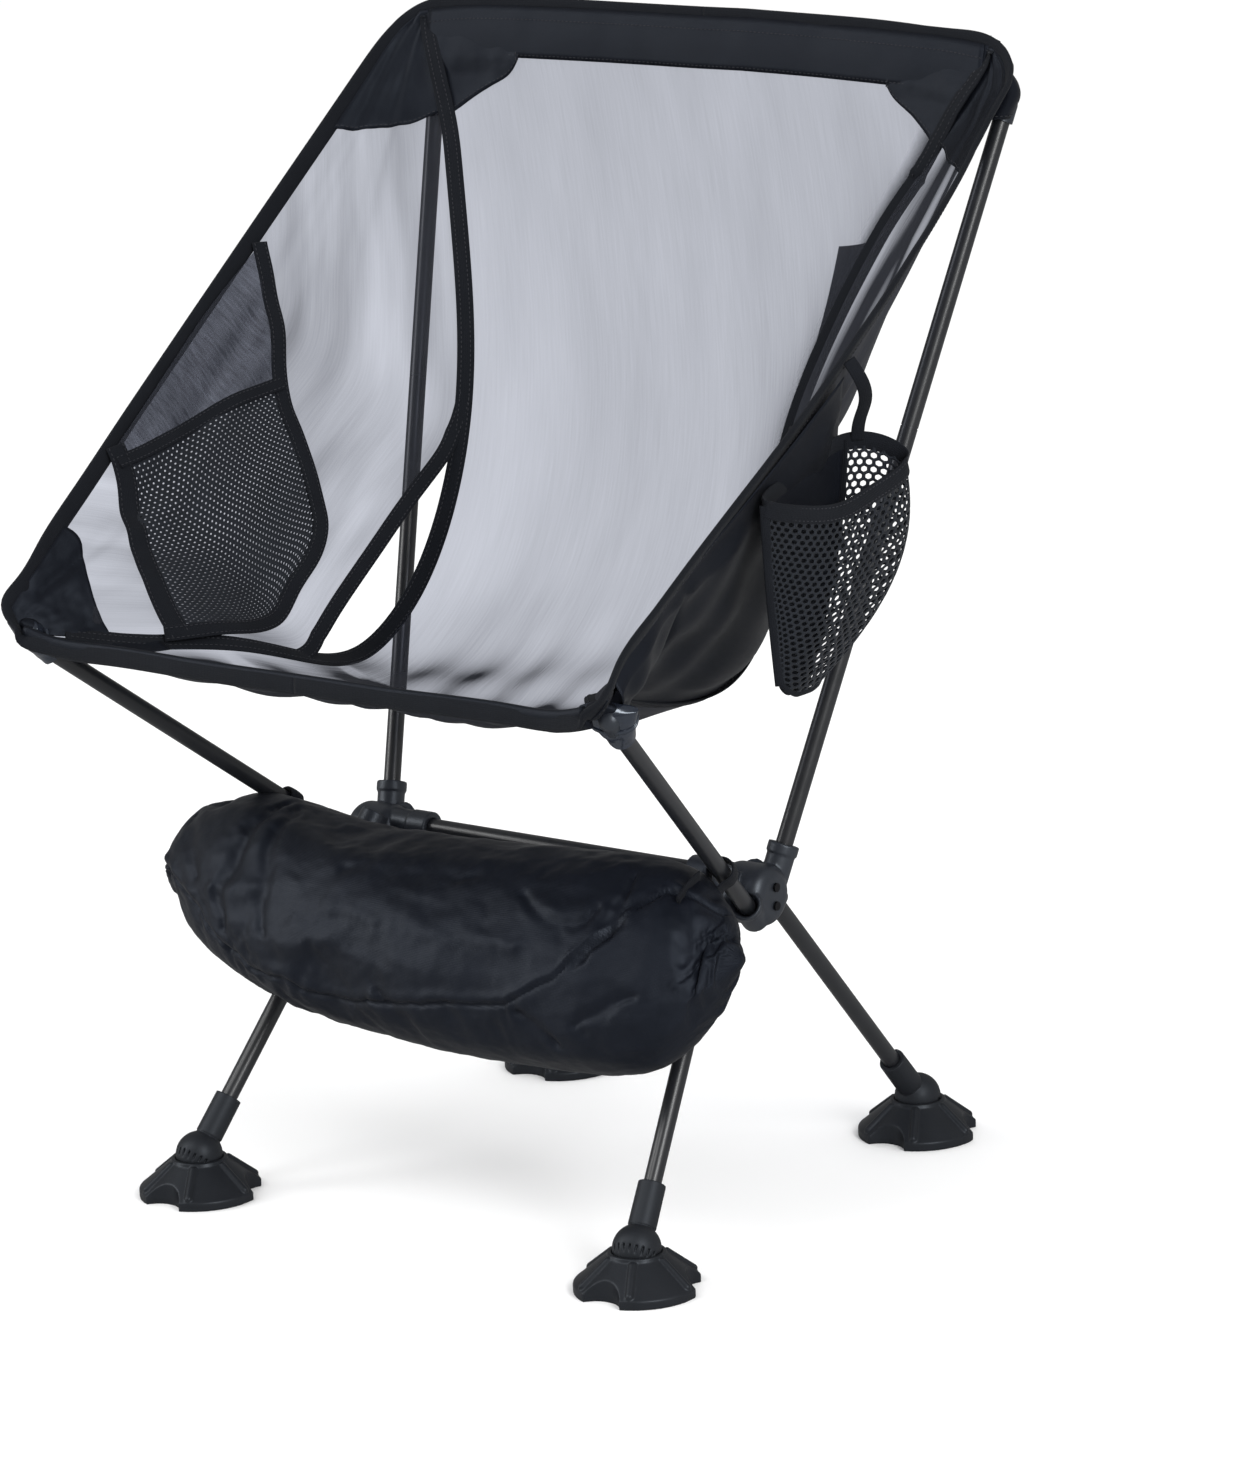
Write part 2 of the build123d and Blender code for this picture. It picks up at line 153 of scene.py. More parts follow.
def plastic_material(name, dark, light, rough_low, rough_high, grain_scale, gloss=0.35):
    """Moulded plastic or rubber with a fine grain."""
    tree = new_tree(name)
    place = tree.place(False)
    patches, grain = tree.noise(place, 45, 4), tree.noise(place, grain_scale, 3)
    return tree.surface({
        "Base Color": tree.tint(patches, dark, light),
        "Roughness": tree.ramp(patches, rough_low, rough_high),
        "Normal": tree.bump(grain, 0.00012, 0.5),
        "Specular IOR Level": gloss,
        "Specular Tint": PLASTIC_TINT,
    })


def metal_material(name, colour, roughness):
    tree = new_tree(name)
    streaks = tree.noise(tree.place(False), 900, 3)
    return tree.surface({
        "Metallic": 1.0,
        "Base Color": (*colour, 1),
        "Roughness": tree.ramp(streaks, roughness * 0.8, roughness * 1.25),
    })


def woven_material(name, dark, light, rough_low, rough_high, thread, relief, sheen, use_uv, gloss=0.2):
    """Woven cloth: two crossed thread waves of one pitch, slow colour variation and a soft sheen."""
    tree = new_tree(name)
    place = tree.place(use_uv)
    wave_scale = 1 / (thread * 20) * math.pi * 2
    weave = tree.math("MULTIPLY", tree.wave(place, "X", wave_scale), tree.wave(place, "Y", wave_scale))
    slow, fibre = tree.noise(place, 38, 5), tree.noise(place, 1800, 3)
    return tree.surface({
        "Base Color": tree.tint(slow, dark, light),
        "Roughness": tree.ramp(slow, rough_low, rough_high),
        "Normal": tree.bump(fibre, relief * 0.6, 0.4, tree.bump(weave, relief, 0.6)),
        "Sheen Weight": sheen,
        "Sheen Roughness": 0.5,
        "Specular IOR Level": gloss,
        "Specular Tint": CLOTH_TINT,
    })


def sheer_material(name, cover, fold_shade_depth, streak_stretch=0.03, streak_scale=900, fade=None):
    """Fine black mesh: light passes between its threads, less so where it is seen at a slant. Slow stretched
    noise paints fold shading into its cover, as darker and lighter stripes.
    With a fade it thins out to nothing over that width, in metres."""
    tree = new_tree(name)
    place = tree.place(True)
    streaks = tree.noise(tree.place(True, (streak_stretch, 1, 1)), streak_scale, 3)
    # Painted fold shading: this noise raises and lowers the cover in slow stretched stripes
    folds = tree.noise(tree.place(True, SHEER_FOLD_SHADE_STRETCH), SHEER_FOLD_SHADE_SCALE, 2)
    slant = tree.fill(tree.new("LayerWeight"), {"Blend": 0.5}, "Facing")
    slanted = tree.math("POWER", tree.math("SUBTRACT", 1.0, slant), SHEER_SLANT_POWER)
    cloth = tree.math("ADD", tree.ramp(streaks, *cover), tree.ramp(folds, -fold_shade_depth, fold_shade_depth))
    covered = tree.math("DIVIDE", cloth, slanted)
    shows = SHEER_TINT
    if fade is not None:
        across = tree.fill(tree.new("SeparateXYZ"), {"Vector": place}, "Y")
        left_over = tree.math("SUBTRACT", 1.0, tree.math("DIVIDE", across, fade), clamp=True)
        covered = tree.math("MULTIPLY", covered, left_over)
        shows = (1.0, 1.0, 1.0)
    open_share = tree.math("SUBTRACT", 1.0, covered, clamp=True)
    clear = tree.fill(tree.new("BsdfTransparent"), {"Color": (*shows, 1)}, "BSDF")
    threads = tree.nodes["Principled BSDF"].outputs["BSDF"]
    mixed = tree.fill(tree.new("MixShader"), {"Fac": open_share, 1: threads, 2: clear}, "Shader")
    tree.fill(tree.nodes["Material Output"], {"Surface": mixed})
    return tree.surface({
        "Base Color": tree.tint(tree.noise(place, 25, 3), (0.010, 0.011, 0.016), (0.022, 0.025, 0.034)),
        "Roughness": 0.55,
        "Specular IOR Level": 0.2,
        "Sheen Weight": 0.02,
        "Normal": tree.bump(streaks, 0.0001, 0.3),
    })


M = {
    "tube": tube_material(),
    "hub": plastic_material("hub_nylon", (0.010, 0.012, 0.016), (0.020, 0.022, 0.028), 0.34, 0.48, 1500, 0.7),
    "foot": plastic_material("foot_moulded", (0.007, 0.008, 0.010), (0.014, 0.015, 0.018), 0.34, 0.48, 900),
    "tip": plastic_material("tip_rubber", (0.008, 0.009, 0.011), (0.015, 0.016, 0.019), 0.42, 0.58, 1200),
    "rivet": metal_material("rivet_black", (0.03, 0.03, 0.034), 0.4),
    "ferrule": metal_material("ferrule_aluminium", (0.10, 0.10, 0.11), 0.4),
    "cord": woven_material("cord_braid", (0.012, 0.012, 0.014), (0.03, 0.03, 0.034), 0.7, 0.9,
                           0.0006, 0.0002, 0.1, False),
    "webbing": woven_material("webbing", (0.0030, 0.0032, 0.0042), (0.0075, 0.0080, 0.0100), 0.68, 0.9,
                              0.0011, 0.00025, 0.03, True, 0.2),
    "nylon": woven_material("corner_nylon", (0.0020, 0.0025, 0.0044), (0.0052, 0.0062, 0.0098), 0.36, 0.54,
                            0.0006, 0.00010, 0.012, True, 0.24),
    "bag": woven_material("bag_nylon", (0.0020, 0.0026, 0.0046), (0.0058, 0.0072, 0.0120), 0.34, 0.54,
                          0.0007, 0.00010, 0.012, True, 0.26),
    "open": woven_material("open_mesh", (0.005, 0.0055, 0.007), (0.010, 0.011, 0.014), 0.5, 0.7,
                           0.0009, 0.00015, 0.05, True, 0.35),
    "vinyl": plastic_material("pocket_vinyl", (0.008, 0.010, 0.016), (0.018, 0.022, 0.032), 0.18, 0.30,
                              500, 0.9),
    "thread": plastic_material("stitch_thread", (0.016, 0.016, 0.019), (0.032, 0.032, 0.037), 0.5, 0.7,
                               3000, 0.3),
    "sheer": sheer_material("sheer_mesh", (0.39, 0.49), 0.07),
    # The side panel's mesh gets the deepest painted fold shading, and a cover raised a little as painted shade
    "sheer_side": sheer_material("sheer_mesh_side", (0.46, 0.57), 0.36),
    "sleeve": sheer_material("sheer_mesh_dense", (0.52, 0.88), 0.12, 0.10, 520),
    "facing": sheer_material("sheer_mesh_facing", (0.84, 0.90), 0.03),
    # Painted shade beside the left seam: a mesh layer that covers fully at the seam and fades out
    "seam_shade": sheer_material("sheer_mesh_seam_shade", (1.45, 1.6), 0.05, fade=SEAM_SHADE_WIDTH),
}


# ---------------------------------------------------------------- curves and meshes

class Run:
    """Smooth curve through a few points, read at fractions of its length (a natural cubic spline)."""

    def __init__(self, points):
        self.points = np.array(points, float)
        steps = np.linalg.norm(np.diff(self.points, axis=0), axis=1)
        self.knots = np.concatenate([[0], np.cumsum(steps)]) / steps.sum()
        self.gaps = np.diff(self.knots)
        count = len(self.points)
        matrix = np.eye(count)
        right = np.zeros_like(self.points)
        slopes = np.diff(self.points, axis=0) / self.gaps[:, None]
        for i in range(1, count - 1):
            matrix[i, i - 1:i + 2] = self.gaps[i - 1], 2 * (self.gaps[i - 1] + self.gaps[i]), self.gaps[i]
            right[i] = 6 * (slopes[i] - slopes[i - 1])
        self.bends = np.linalg.solve(matrix, right)

    def __call__(self, fraction):
        t = np.clip(np.asarray(fraction, float), 0, 1)
        i = np.clip(np.searchsorted(self.knots, t, side="right") - 1, 0, len(self.gaps) - 1)
        gap = self.gaps[i][..., None]
        a = (self.knots[i + 1] - t)[..., None] / gap
        b = (t - self.knots[i])[..., None] / gap
        curved = ((a ** 3 - a) * self.bends[i] + (b ** 3 - b) * self.bends[i + 1]) * gap * gap / 6
        return a * self.points[i] + b * self.points[i + 1] + curved

    def nearest(self, point):
        """Fraction of the length at which the curve comes nearest to a point."""
        fractions = np.linspace(0, 1, 2000)
        return fractions[np.argmin(np.linalg.norm(self(fractions) - point, axis=1))]


def unit(vectors):
    return vectors / np.maximum(np.linalg.norm(vectors, axis=-1, keepdims=True), 1e-12)


def bezier(points, fraction):
    p = np.array(points, float)
    t = np.asarray(fraction, float)[..., None]
    return (1 - t) ** 3 * p[0] + 3 * t * (1 - t) ** 2 * p[1] + 3 * t * t * (1 - t) * p[2] + t ** 3 * p[3]


# How far the sitter's left rim is drawn inwards, by height, and how far its top corner is pulled down
LEFT_DRAW = [(400, 0.0), (480, 4.5), (520, 8.0), (560, 8.4), (585, 6.6), (610, 5.0), (632, 0.5), (645, -1.5),
             (660, -1.0)]
LEFT_DROP = 3.8


def sided(points, side):
    """Points of the sitter's left, whose rim is drawn in a little, or their mirror images on the right."""
    points = np.asarray(points, float)
    if side == RIGHT:
        return points * (RIGHT, 1, 1)
    heights, draws = zip(*LEFT_DRAW)
    draw = np.interp(points[..., 2], heights, draws) * np.clip((points[..., 0] - 120) / 100, 0, 1)
    drop = LEFT_DROP * np.clip((points[..., 0] - 30) / 130, 0, 1) * np.clip((points[..., 2] - 625) / 30, 0, 1)
    return points - np.stack([draw, 0 * draw, drop], axis=-1)


def make_piece(name, points, faces, material, uvs=None):
    """Mesh object from millimetre points; uvs holds one (along, across) pair in metres per point."""
    mesh = bpy.data.meshes.new(name)
    shifted = (np.asarray(points, float).reshape(-1, 3) + (0, CROSSBAR_Y, 0)) * MM
    mesh.from_pydata(shifted.tolist(), [], faces)
    if uvs is not None:
        layer = mesh.uv_layers.new(name="along_across")
        corner = np.empty(len(mesh.loops), int)
        mesh.loops.foreach_get("vertex_index", corner)
        layer.data.foreach_set("uv", np.asarray(uvs, float).reshape(-1, 2)[corner].ravel())
    mesh.materials.append(material)
    mesh.polygons.foreach_set("use_smooth", [True] * len(mesh.polygons))
    mesh.update()
    piece = bpy.data.objects.new(name, mesh)
    bpy.context.scene.collection.objects.link(piece)
    return piece


def grid_faces(rows, columns, wrap=False):
    faces = []
    last = columns if wrap else columns - 1
    for r in range(rows - 1):
        for c in range(last):
            d = (c + 1) % columns
            faces.append((r * columns + c, r * columns + d, (r + 1) * columns + d, (r + 1) * columns + c))
    return faces


def grid_uvs(points):
    """Distances along the columns and the rows of a grid, in metres."""
    down = np.linalg.norm(np.diff(points, axis=0), axis=2)
    over = np.linalg.norm(np.diff(points, axis=1), axis=2)
    u = np.concatenate([np.zeros((1, points.shape[1])), np.cumsum(down, axis=0)]) * MM
    v = np.concatenate([np.zeros((points.shape[0], 1)), np.cumsum(over, axis=1)], axis=1) * MM
    return np.stack([u, v], axis=2)


def sheet_piece(name, points, material):
    """Single sheet over a grid of points."""
    rows, columns = points.shape[:2]
    return make_piece(name, points, grid_faces(rows, columns), material, grid_uvs(points))


def thicken(piece, thickness, offset=0.0, even=False):
    """Gives a sheet a thickness in millimetres, on both its sides unless offset is 1."""
    solid = piece.modifiers.new("thickness", "SOLIDIFY")
    solid.thickness, solid.offset, solid.use_even_offset = thickness * MM, offset, even
    return piece


def cloth_piece(name, points, material, thickness):
    """Sheet with a real thickness."""
    return thicken(sheet_piece(name, points, material), thickness, even=True)


def lattice(rows, columns, down=(0, 1), over=(0, 1)):
    """Two grids of numbers: one runs down the rows, and one over the columns."""
    return np.meshgrid(np.linspace(*down, rows), np.linspace(*over, columns), indexing="ij")


def tube_faces(rows, columns, both=True):
    """Faces of a tube that is closed at both its ends, or at the first one only."""
    ends = [tuple(range(columns))[::-1], tuple((rows - 1) * columns + c for c in range(columns))]
    return grid_faces(rows, columns, wrap=True) + ends[:1 + both]


def boxed(wave, power):
    """Cosines or sines drawn out so that a circle becomes a rounded box."""
    return np.sign(wave) * np.abs(wave) ** power


def tangents(path):
    return unit(np.gradient(path, axis=0))


def sweep(name, path, across, section, material, closed=False):
    """Closed section (pairs: across, out of the sheet) carried along a path."""
    path = np.asarray(path, float)
    along = tangents(path) if not closed else unit(np.roll(path, -1, 0) - np.roll(path, 1, 0))
    wide = unit(across - along * (across * along).sum(1, keepdims=True))
    out = np.cross(along, wide)
    section = np.asarray(section, float)
    points = path[:, None] + wide[:, None] * section[None, :, :1] + out[:, None] * section[None, :, 1:]
    count, ring = points.shape[:2]
    if closed:
        faces = grid_faces(count, ring, wrap=True)
        faces += [((count - 1) * ring + c, (count - 1) * ring + (c + 1) % ring, (c + 1) % ring, c)
                  for c in range(ring)]
    else:
        faces = tube_faces(count, ring)
    steps = np.concatenate([[0], np.cumsum(np.linalg.norm(np.diff(path, axis=0), axis=1))]) * MM
    girth = np.concatenate([[0], np.cumsum(np.linalg.norm(np.diff(section, axis=0), axis=1))]) * MM
    uvs = np.stack(np.meshgrid(steps, girth, indexing="ij"), axis=2)
    return make_piece(name, points, faces, material, uvs)


# How much thicker a strap is in its middle
STRAP_CROWN = 0.25


def webbing_section(width, thickness):
    """Flat strap section with rounded edges, a little thicker in the middle."""
    half = width / 2
    edge = thickness / 2
    side = [(half - edge * (1 - math.cos(a)), edge * math.sin(a)) for a in np.linspace(0, math.pi / 2, 4)]
    top = side + [(half * 0.4, edge + STRAP_CROWN), (0, edge + STRAP_CROWN * 1.3),
                  (-half * 0.4, edge + STRAP_CROWN)]
    top += [(-x, y) for x, y in reversed(side)]
    bottom = [(x, -y) for x, y in reversed(top)]
    return top + bottom[1:-1]


def ripple(points, scale, depth, stretch=(1, 1, 1), seed=0.0):
    """Signed noise at points, stretched along axes."""
    flat = np.asarray(points, float).reshape(-1, 3) * stretch / scale
    values = [noise.fractal(Vector(p) + Vector((seed, seed * 1.7, -seed)), 1.0, 2.0, 3) for p in flat]
    return np.array(values).reshape(np.asarray(points).shape[:-1]) * depth


STITCH_PITCH, STITCH_LENGTH = 3.0, 2.1


def stitch_row(name, path, out, radius=0.3):
    """Row of separate stitches lying on a surface along a path; out is the surface's outward direction."""
    path = np.asarray(path, float)
    out = np.broadcast_to(out, path.shape)
    steps = np.concatenate([[0], np.cumsum(np.linalg.norm(np.diff(path, axis=0), axis=1))])
    count = max(int(steps[-1] / STITCH_PITCH), 1)
    starts = (np.arange(count) + 0.5) * steps[-1] / count

    def along_path(values, at):
        return np.stack([np.interp(at, steps, values[:, k]) for k in range(3)], axis=1)

    centres = along_path(path, starts)
    along = unit(along_path(path, starts + 0.5) - along_path(path, starts - 0.5))
    outs = along_path(out, starts)
    up = unit(outs - along * (outs * along).sum(1, keepdims=True))
    wide = np.cross(along, up)
    points, faces = [], []
    for centre, a, u, w in zip(centres, along, up, wide):
        base = len(points)
        points.append(centre - a * STITCH_LENGTH / 2 - u * radius * 0.6)
        for share in (-0.3, 0.3):
            for angle in range(6):
                turn = math.radians(angle * 60)
                ring = w * math.cos(turn) + u * math.sin(turn)
                points.append(centre + a * STITCH_LENGTH * share + ring * radius)
        points.append(centre + a * STITCH_LENGTH / 2 - u * radius * 0.6)
        for k in range(6):
            n = (k + 1) % 6
            faces.append((base, base + 1 + n, base + 1 + k))
            faces.append((base + 1 + k, base + 1 + n, base + 7 + n, base + 7 + k))
            faces.append((base + 7 + k, base + 7 + n, base + 13))
    return make_piece(name, points, faces, M["thread"])


def ride(piece, replaced=(), body="frame"):
    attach(piece, body)
    if replaced:
        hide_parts(*replaced)
    return piece


def add_sheet(name, points, material, replaced=()):
    """Single sheet on the frame, as it lies."""
    ride(sheet_piece(name, points, M[material]), replaced)


# Width and thickness of each tape, and thickness of each cloth
SEAM_TAPE, VENT_TAPE, STASH_TAPE_THICKNESS = (10.5, 1.1), (9.5, 1.1), 1.0
CUP_HEM_TAPE, CUP_EDGE_TAPE, CUP_BASE_TAPE, CUP_STRAP_TAPE = (10, 1.2), (5.5, 1.6), (3.2, 1.4), (8, 1.1)
BAG_STRAP_TAPE, BAG_BAND_TAPE, POCKET_LIP_TAPE = (10, 1.2), (9, 1.2), (3.0, 1.8)
PATCH_THICKNESS, TOP_BAND_THICKNESS, CUP_BACK_THICKNESS, LINING_THICKNESS = 0.7, 1.6, 0.6, 0.5


def add_patch(name, points, side):
    """Nylon patch given on the left side."""
    ride(cloth_piece(name, sided(points, side), M["nylon"], PATCH_THICKNESS))


def add_tape(name, path, across, size, side=None, replaced=(), body="frame", closed=False):
    """Webbing of a width and thickness along a path, given on the left side unless side is None."""
    if side is not None:
        path, across = sided(path, side), sided(across, side)
    piece = sweep(name, path, across, webbing_section(*size), M["webbing"], closed)
    return ride(piece, replaced, body)


def add_stitches(name, path, out, side=None, slot="webbing", radius=0.3):
    """Row of stitches, given on the left side unless side is None."""
    if side is not None:
        path, out = sided(path, side), sided(out, side)
    ride(stitch_row(name, path, out, radius))


# ---------------------------------------------------------------- seat shape

# Inner boundary of a side panel: the seam to the centre panel, the straight edge of the vent, then the seam
INNER = [(206, 160, 659), (194, 152, 636), (184, 147, 611), (166, 130, 575), (147, 110, 533),
         (131, 90, 487), (121.5, 76, 450), (118.6, 63, 420), (119, 44, 404), (120.2, 18, 386),
         (121, -6, 368), (120.6, -32, 350), (119.8, -58, 331), (119.4, -76, 320), (121, -92, 320.5),
         (133, -133, 334), (178, -187, 341), (200, -215, 348)]
# The seam's own line, which bows out beside the vent
SEAM = [(206, 160, 659), (194, 152, 636), (184, 147, 611), (166, 130, 575), (147, 110, 533), (122, 78, 455),
        (119, 55, 390), (127, 22, 330), (127, -10, 311), (120, -55, 310), (119, -91, 320), (133, -133, 334),
        (178, -187, 341), (200, -215, 348)]
# Middle of the centre panel at the same stations
MIDDLE = [(0, 165, 661), (0, 162, 638), (0, 156, 612), (0, 144, 572), (0, 132, 533), (0, 109, 458),
          (0, 87, 392), (0, 50, 332), (0, 6, 302), (0, -50, 292), (0, -102, 300), (0, -155, 318),
          (0, -205, 332), (0, -229, 341)]
# Side edge between the rear and front corners, a cubic curve
EDGE = [(224, 150, 656), (262, 45, 533), (205, -215, 398), (217, -231, 362)]
TOP_CORNER = [(206, 159, 667), (218, 155, 660)]
TOP_EDGE = [(0, 166, 671), (75, 165.5, 671.5), (140, 163, 671.5), (182, 161, 670)]
FRONT_EDGE = [(213, -230, 360), (203, -233, 351), (186, -231, 346.5), (150, -229, 345), (75, -231, 345),
              (0, -231, 345)]
EDGE_STATIONS = (0.06, 0.12, 0.2, 0.3, 0.4, 0.5, 0.6, 0.7, 0.8, 0.9, 0.97)
PANEL_CURL = 4.6

inner_run = Run(INNER)
seam_run = Run(SEAM)
middle_run = Run(MIDDLE)
EDGE_LINE = TOP_CORNER + [tuple(bezier(EDGE, t)) for t in EDGE_STATIONS]
edge_run = Run(EDGE_LINE)


def side_surface(u, v, lift=0.0):
    """Left side panel: u from the rear corner to the front, v from the seam to the bound edge; lift is the
    distance towards the sitter."""
    u, v, lift = np.broadcast_arrays(np.asarray(u, float), np.asarray(v, float), np.asarray(lift, float))
    start, end = inner_run(u), edge_run(u)
    point = start + (end - start) * v[..., None]
    step = 0.01
    ahead = inner_run(u + step) + (edge_run(u + step) - inner_run(u + step)) * v[..., None]
    behind = inner_run(u - step) + (edge_run(u - step) - inner_run(u - step)) * v[..., None]
    normal = unit(np.cross(end - start, ahead - behind))
    normal = normal * np.where(normal[..., :1] > 0, -1, 1)
    return point + normal * lift[..., None]


def side_ripple(u, v):
    """Slack folds that run along the panel beside its bound edge, and the panel's own sag outwards."""
    envelope = np.sin(np.pi * np.clip(u, 0, 1)) ** 0.6 * np.clip(v * 6, 0, 1) * np.clip((1 - v) * 9, 0, 1)
    beside = np.exp(-((v - 0.74) / 0.22) ** 2)
    folds = 1.7 * np.sin(v * 27 + u * 2.4) * beside + 0.9 * np.sin(v * 47 + u * 6 + 1) * beside
    folds = folds + 0.8 * np.sin(v * 13 + u * 9)
    sag = -12 * np.sin(np.pi * u) * np.sin(np.pi * np.clip(v, 0, 1) ** 1.2)
    return envelope * folds + sag


def centre_surface(u, w, lift=0.0):
    """Centre panel: u from the top band to the front hem, w from -1 (right seam) to 1 (left seam)."""
    u, w, lift = np.broadcast_arrays(np.asarray(u, float), np.asarray(w, float), np.asarray(lift, float))
    edge, middle = seam_run(u), middle_run(u)
    curl = np.abs(w) ** PANEL_CURL
    point = np.stack([w * edge[..., 0], middle[..., 1] + (edge[..., 1] - middle[..., 1]) * curl,
                      middle[..., 2] + (edge[..., 2] - middle[..., 2]) * curl], axis=-1)
    slope = seam_run(u + 0.01) * (0, 1, 1) - seam_run(u - 0.01) * (0, 1, 1)
    normal = unit(np.stack([np.zeros_like(u), -slope[..., 2], slope[..., 1]], axis=-1))
    normal = normal * np.where(normal[..., 1:2] - normal[..., 2:] * 0.2 > 0, -1, 1)
    return point + normal * lift[..., None]


def centre_ripple(u, w):
    """Small slack folds over the lower seat, running back from the front corners."""
    low = np.clip((u - 0.5) / 0.25, 0, 1) * np.clip((1 - u) / 0.06, 0, 1) * (1 - np.abs(w) ** 4)
    folds = 1.6 * np.sin(u * 62 + w * 4) + 1.1 * np.sin(u * 40 - w * 9 + 2) + 0.8 * np.sin(w * 23 + u * 15)
    return low * folds * 1.3


def to_edge(points, edge):
    """Adds rows to a grid, from its last row to an edge."""
    return np.concatenate([points] + [[points[-1] * (1 - t) + edge * t] for t in (0.25, 0.5, 0.75, 1.0)])


def to_front_hem(points):
    """Adds rows to a grid on the left half, or on both, so that its last row reaches the front hem."""
    x, y, z = np.array(FRONT_EDGE[1:][::-1]).T
    last = points[-1]
    reach = np.abs(last[:, 0])
    return to_edge(points, np.stack([last[:, 0], np.interp(reach, x, y + 1.5), np.interp(reach, x, z)], axis=1))


def build_centre_panel():
    u, w = lattice(150, 90, over=(-1, 1))
    points = to_front_hem(centre_surface(u, w, centre_ripple(u, w)))
    add_sheet("centre_panel_mesh", points, "sheer", ["seat_centre_panel"])


FACING_U, FACING_W = (0.976, 1.0), (-0.86, 0.86)


def build_front_facing():
    """Doubled mesh above the front hem."""
    u, w = lattice(14, 90, FACING_U, FACING_W)
    points = to_front_hem(centre_surface(u, w, centre_ripple(u, w) - 0.8))[::-1]
    facing = sheet_piece("front_hem_facing", points.transpose(1, 0, 2), M["facing"])
    ride(facing)


def build_side_panel(side, word):
    u, v = lattice(150, 48)
    points = sided(side_surface(u, v, side_ripple(u, v)), side)
    add_sheet("side_panel_mesh_" + word, points, "sheer_side", ["seat_side_panel_" + word])


# ---------------------------------------------------------------- bindings and tapes

BINDING_SECTION = [(5.2, 0), (4.7, 1.2), (3.2, 1.75), (0, 1.5), (-4.2, 1.1), (-5.2, 0.6), (-5.2, -0.6),
                   (-4.2, -1.1), (0, -1.5), (3.2, -1.75), (4.7, -1.2)]
# The seat's bound rim on the left, from the middle of the top to the middle of the front
PERIMETER = TOP_EDGE + EDGE_LINE + FRONT_EDGE
SAMPLE_FRACTIONS = np.linspace(0, 1, 300)
SIDE_SAMPLES = edge_run(SAMPLE_FRACTIONS)
SIDE_INNER = side_surface(SAMPLE_FRACTIONS, 0.8)


def rim_target(point):
    """A point inside the cloth near a rim point: straight down from the top band, back from the front hem,
    and into the side panel elsewhere."""
    near = SIDE_INNER[np.argmin(np.linalg.norm(SIDE_SAMPLES - point, axis=1))]
    near = near * 0.6 + (point + (0, 0, -np.linalg.norm(near - point))) * 0.4
    top = np.clip((point[2] - 655) / 12, 0, 1)
    front = np.clip((-point[1] - 222) / 8, 0, 1) * np.clip((205 - point[0]) / 25, 0, 1)
    target = near * (1 - top) + (point + (0, -2, -40)) * top
    return target * (1 - front) + (point + (0, -1, 40)) * front


def build_rim():
    """Binding tape folded over the whole rim, in a left and a right half, with one row of stitches each."""
    path = Run(PERIMETER)(np.linspace(0, 1, 420))
    inward = unit(np.array([rim_target(point) - point for point in path]))
    out = unit(np.cross(tangents(path), inward))
    for side, word in SIDES:
        rim = sweep("rim_binding_" + word, sided(path, side), -sided(inward, side), BINDING_SECTION,
                    M["webbing"])
        ride(rim, ["side_binding_" + word])
        add_stitches("rim_stitches_" + word, path + inward * 3.6 + out * 1.25, out, side, radius=0.26)


# Share by which each seam tape lies over towards the front
TAPE_LEAN = {LEFT: 0.62, RIGHT: 0.0}
STITCH_LIFT = 0.85


def build_seam_tape(side, word):
    """Tape sewn over the whole seam between the centre and side panels."""
    fractions = np.concatenate([np.zeros(6), np.linspace(0.0, 0.985, 240)])
    rise = np.concatenate([np.linspace(11, 1.5, 6), np.zeros(240)])[:, None] * (0.28, 0.25, 1.0)
    path = seam_run(fractions) + rise
    to_side = unit(side_surface(fractions, 0.35) - path)
    to_centre = unit(centre_surface(fractions, 0.9) - path)
    lean = (TAPE_LEAN[side] * np.clip((fractions - 0.06) / 0.08, 0, 1))[:, None]
    across = unit(unit(to_side - to_centre) * (1 - lean) + np.array((0.8, 0.6, 0.0)) * lean)
    out = unit(np.cross(tangents(path), across))
    out = out * np.where((out[:, :1] * -1 + out[:, 2:] * 0.3) < 0, -1, 1)
    over_patch = np.clip((0.13 - fractions) / 0.04, 0, 1) + np.clip((fractions - 0.90) / 0.04, 0, 1)
    lifted = path + out * (0.8 + 2.0 * over_patch)[:, None]
    add_tape("seam_tape_" + word, lifted, across, SEAM_TAPE, side, ["seam_tape_" + word])
    for row, offset in enumerate((-3.3, 3.3)):
        add_stitches(f"seam_stitches_{word}_{row}", lifted + across * offset + out * STITCH_LIFT, out, side)


VENT_ENDS = ((121.4, 75.5, 449), (120.2, -88, 320.3))


def build_vent_tape(side, word):
    """Tape along the straight edge of the vent."""
    top, bottom = (inner_run.nearest(end) for end in VENT_ENDS)
    fractions = np.linspace(top, bottom, 80)
    share = np.linspace(0, 1, 80)
    tuck = np.clip(np.minimum(share / 0.13, (1 - share) / 0.10), 0, 1)
    inset = (5.4 * tuck - 1.0) / np.linalg.norm(edge_run(fractions) - inner_run(fractions), axis=1)
    path = side_surface(fractions, inset, 0.8)
    across = unit(side_surface(fractions, 0.4) - side_surface(fractions, 0.0))
    add_tape("vent_tape_" + word, path, across, VENT_TAPE, side, ["vent_tape_" + word])
    out = unit(side_surface(fractions, inset, 1.8) - path)
    for row, offset in enumerate((-3.0, 3.0)):
        add_stitches(f"vent_stitches_{word}_{row}", path + across * offset + out * STITCH_LIFT, out, side)


TOP_BAND_HEIGHT = 31


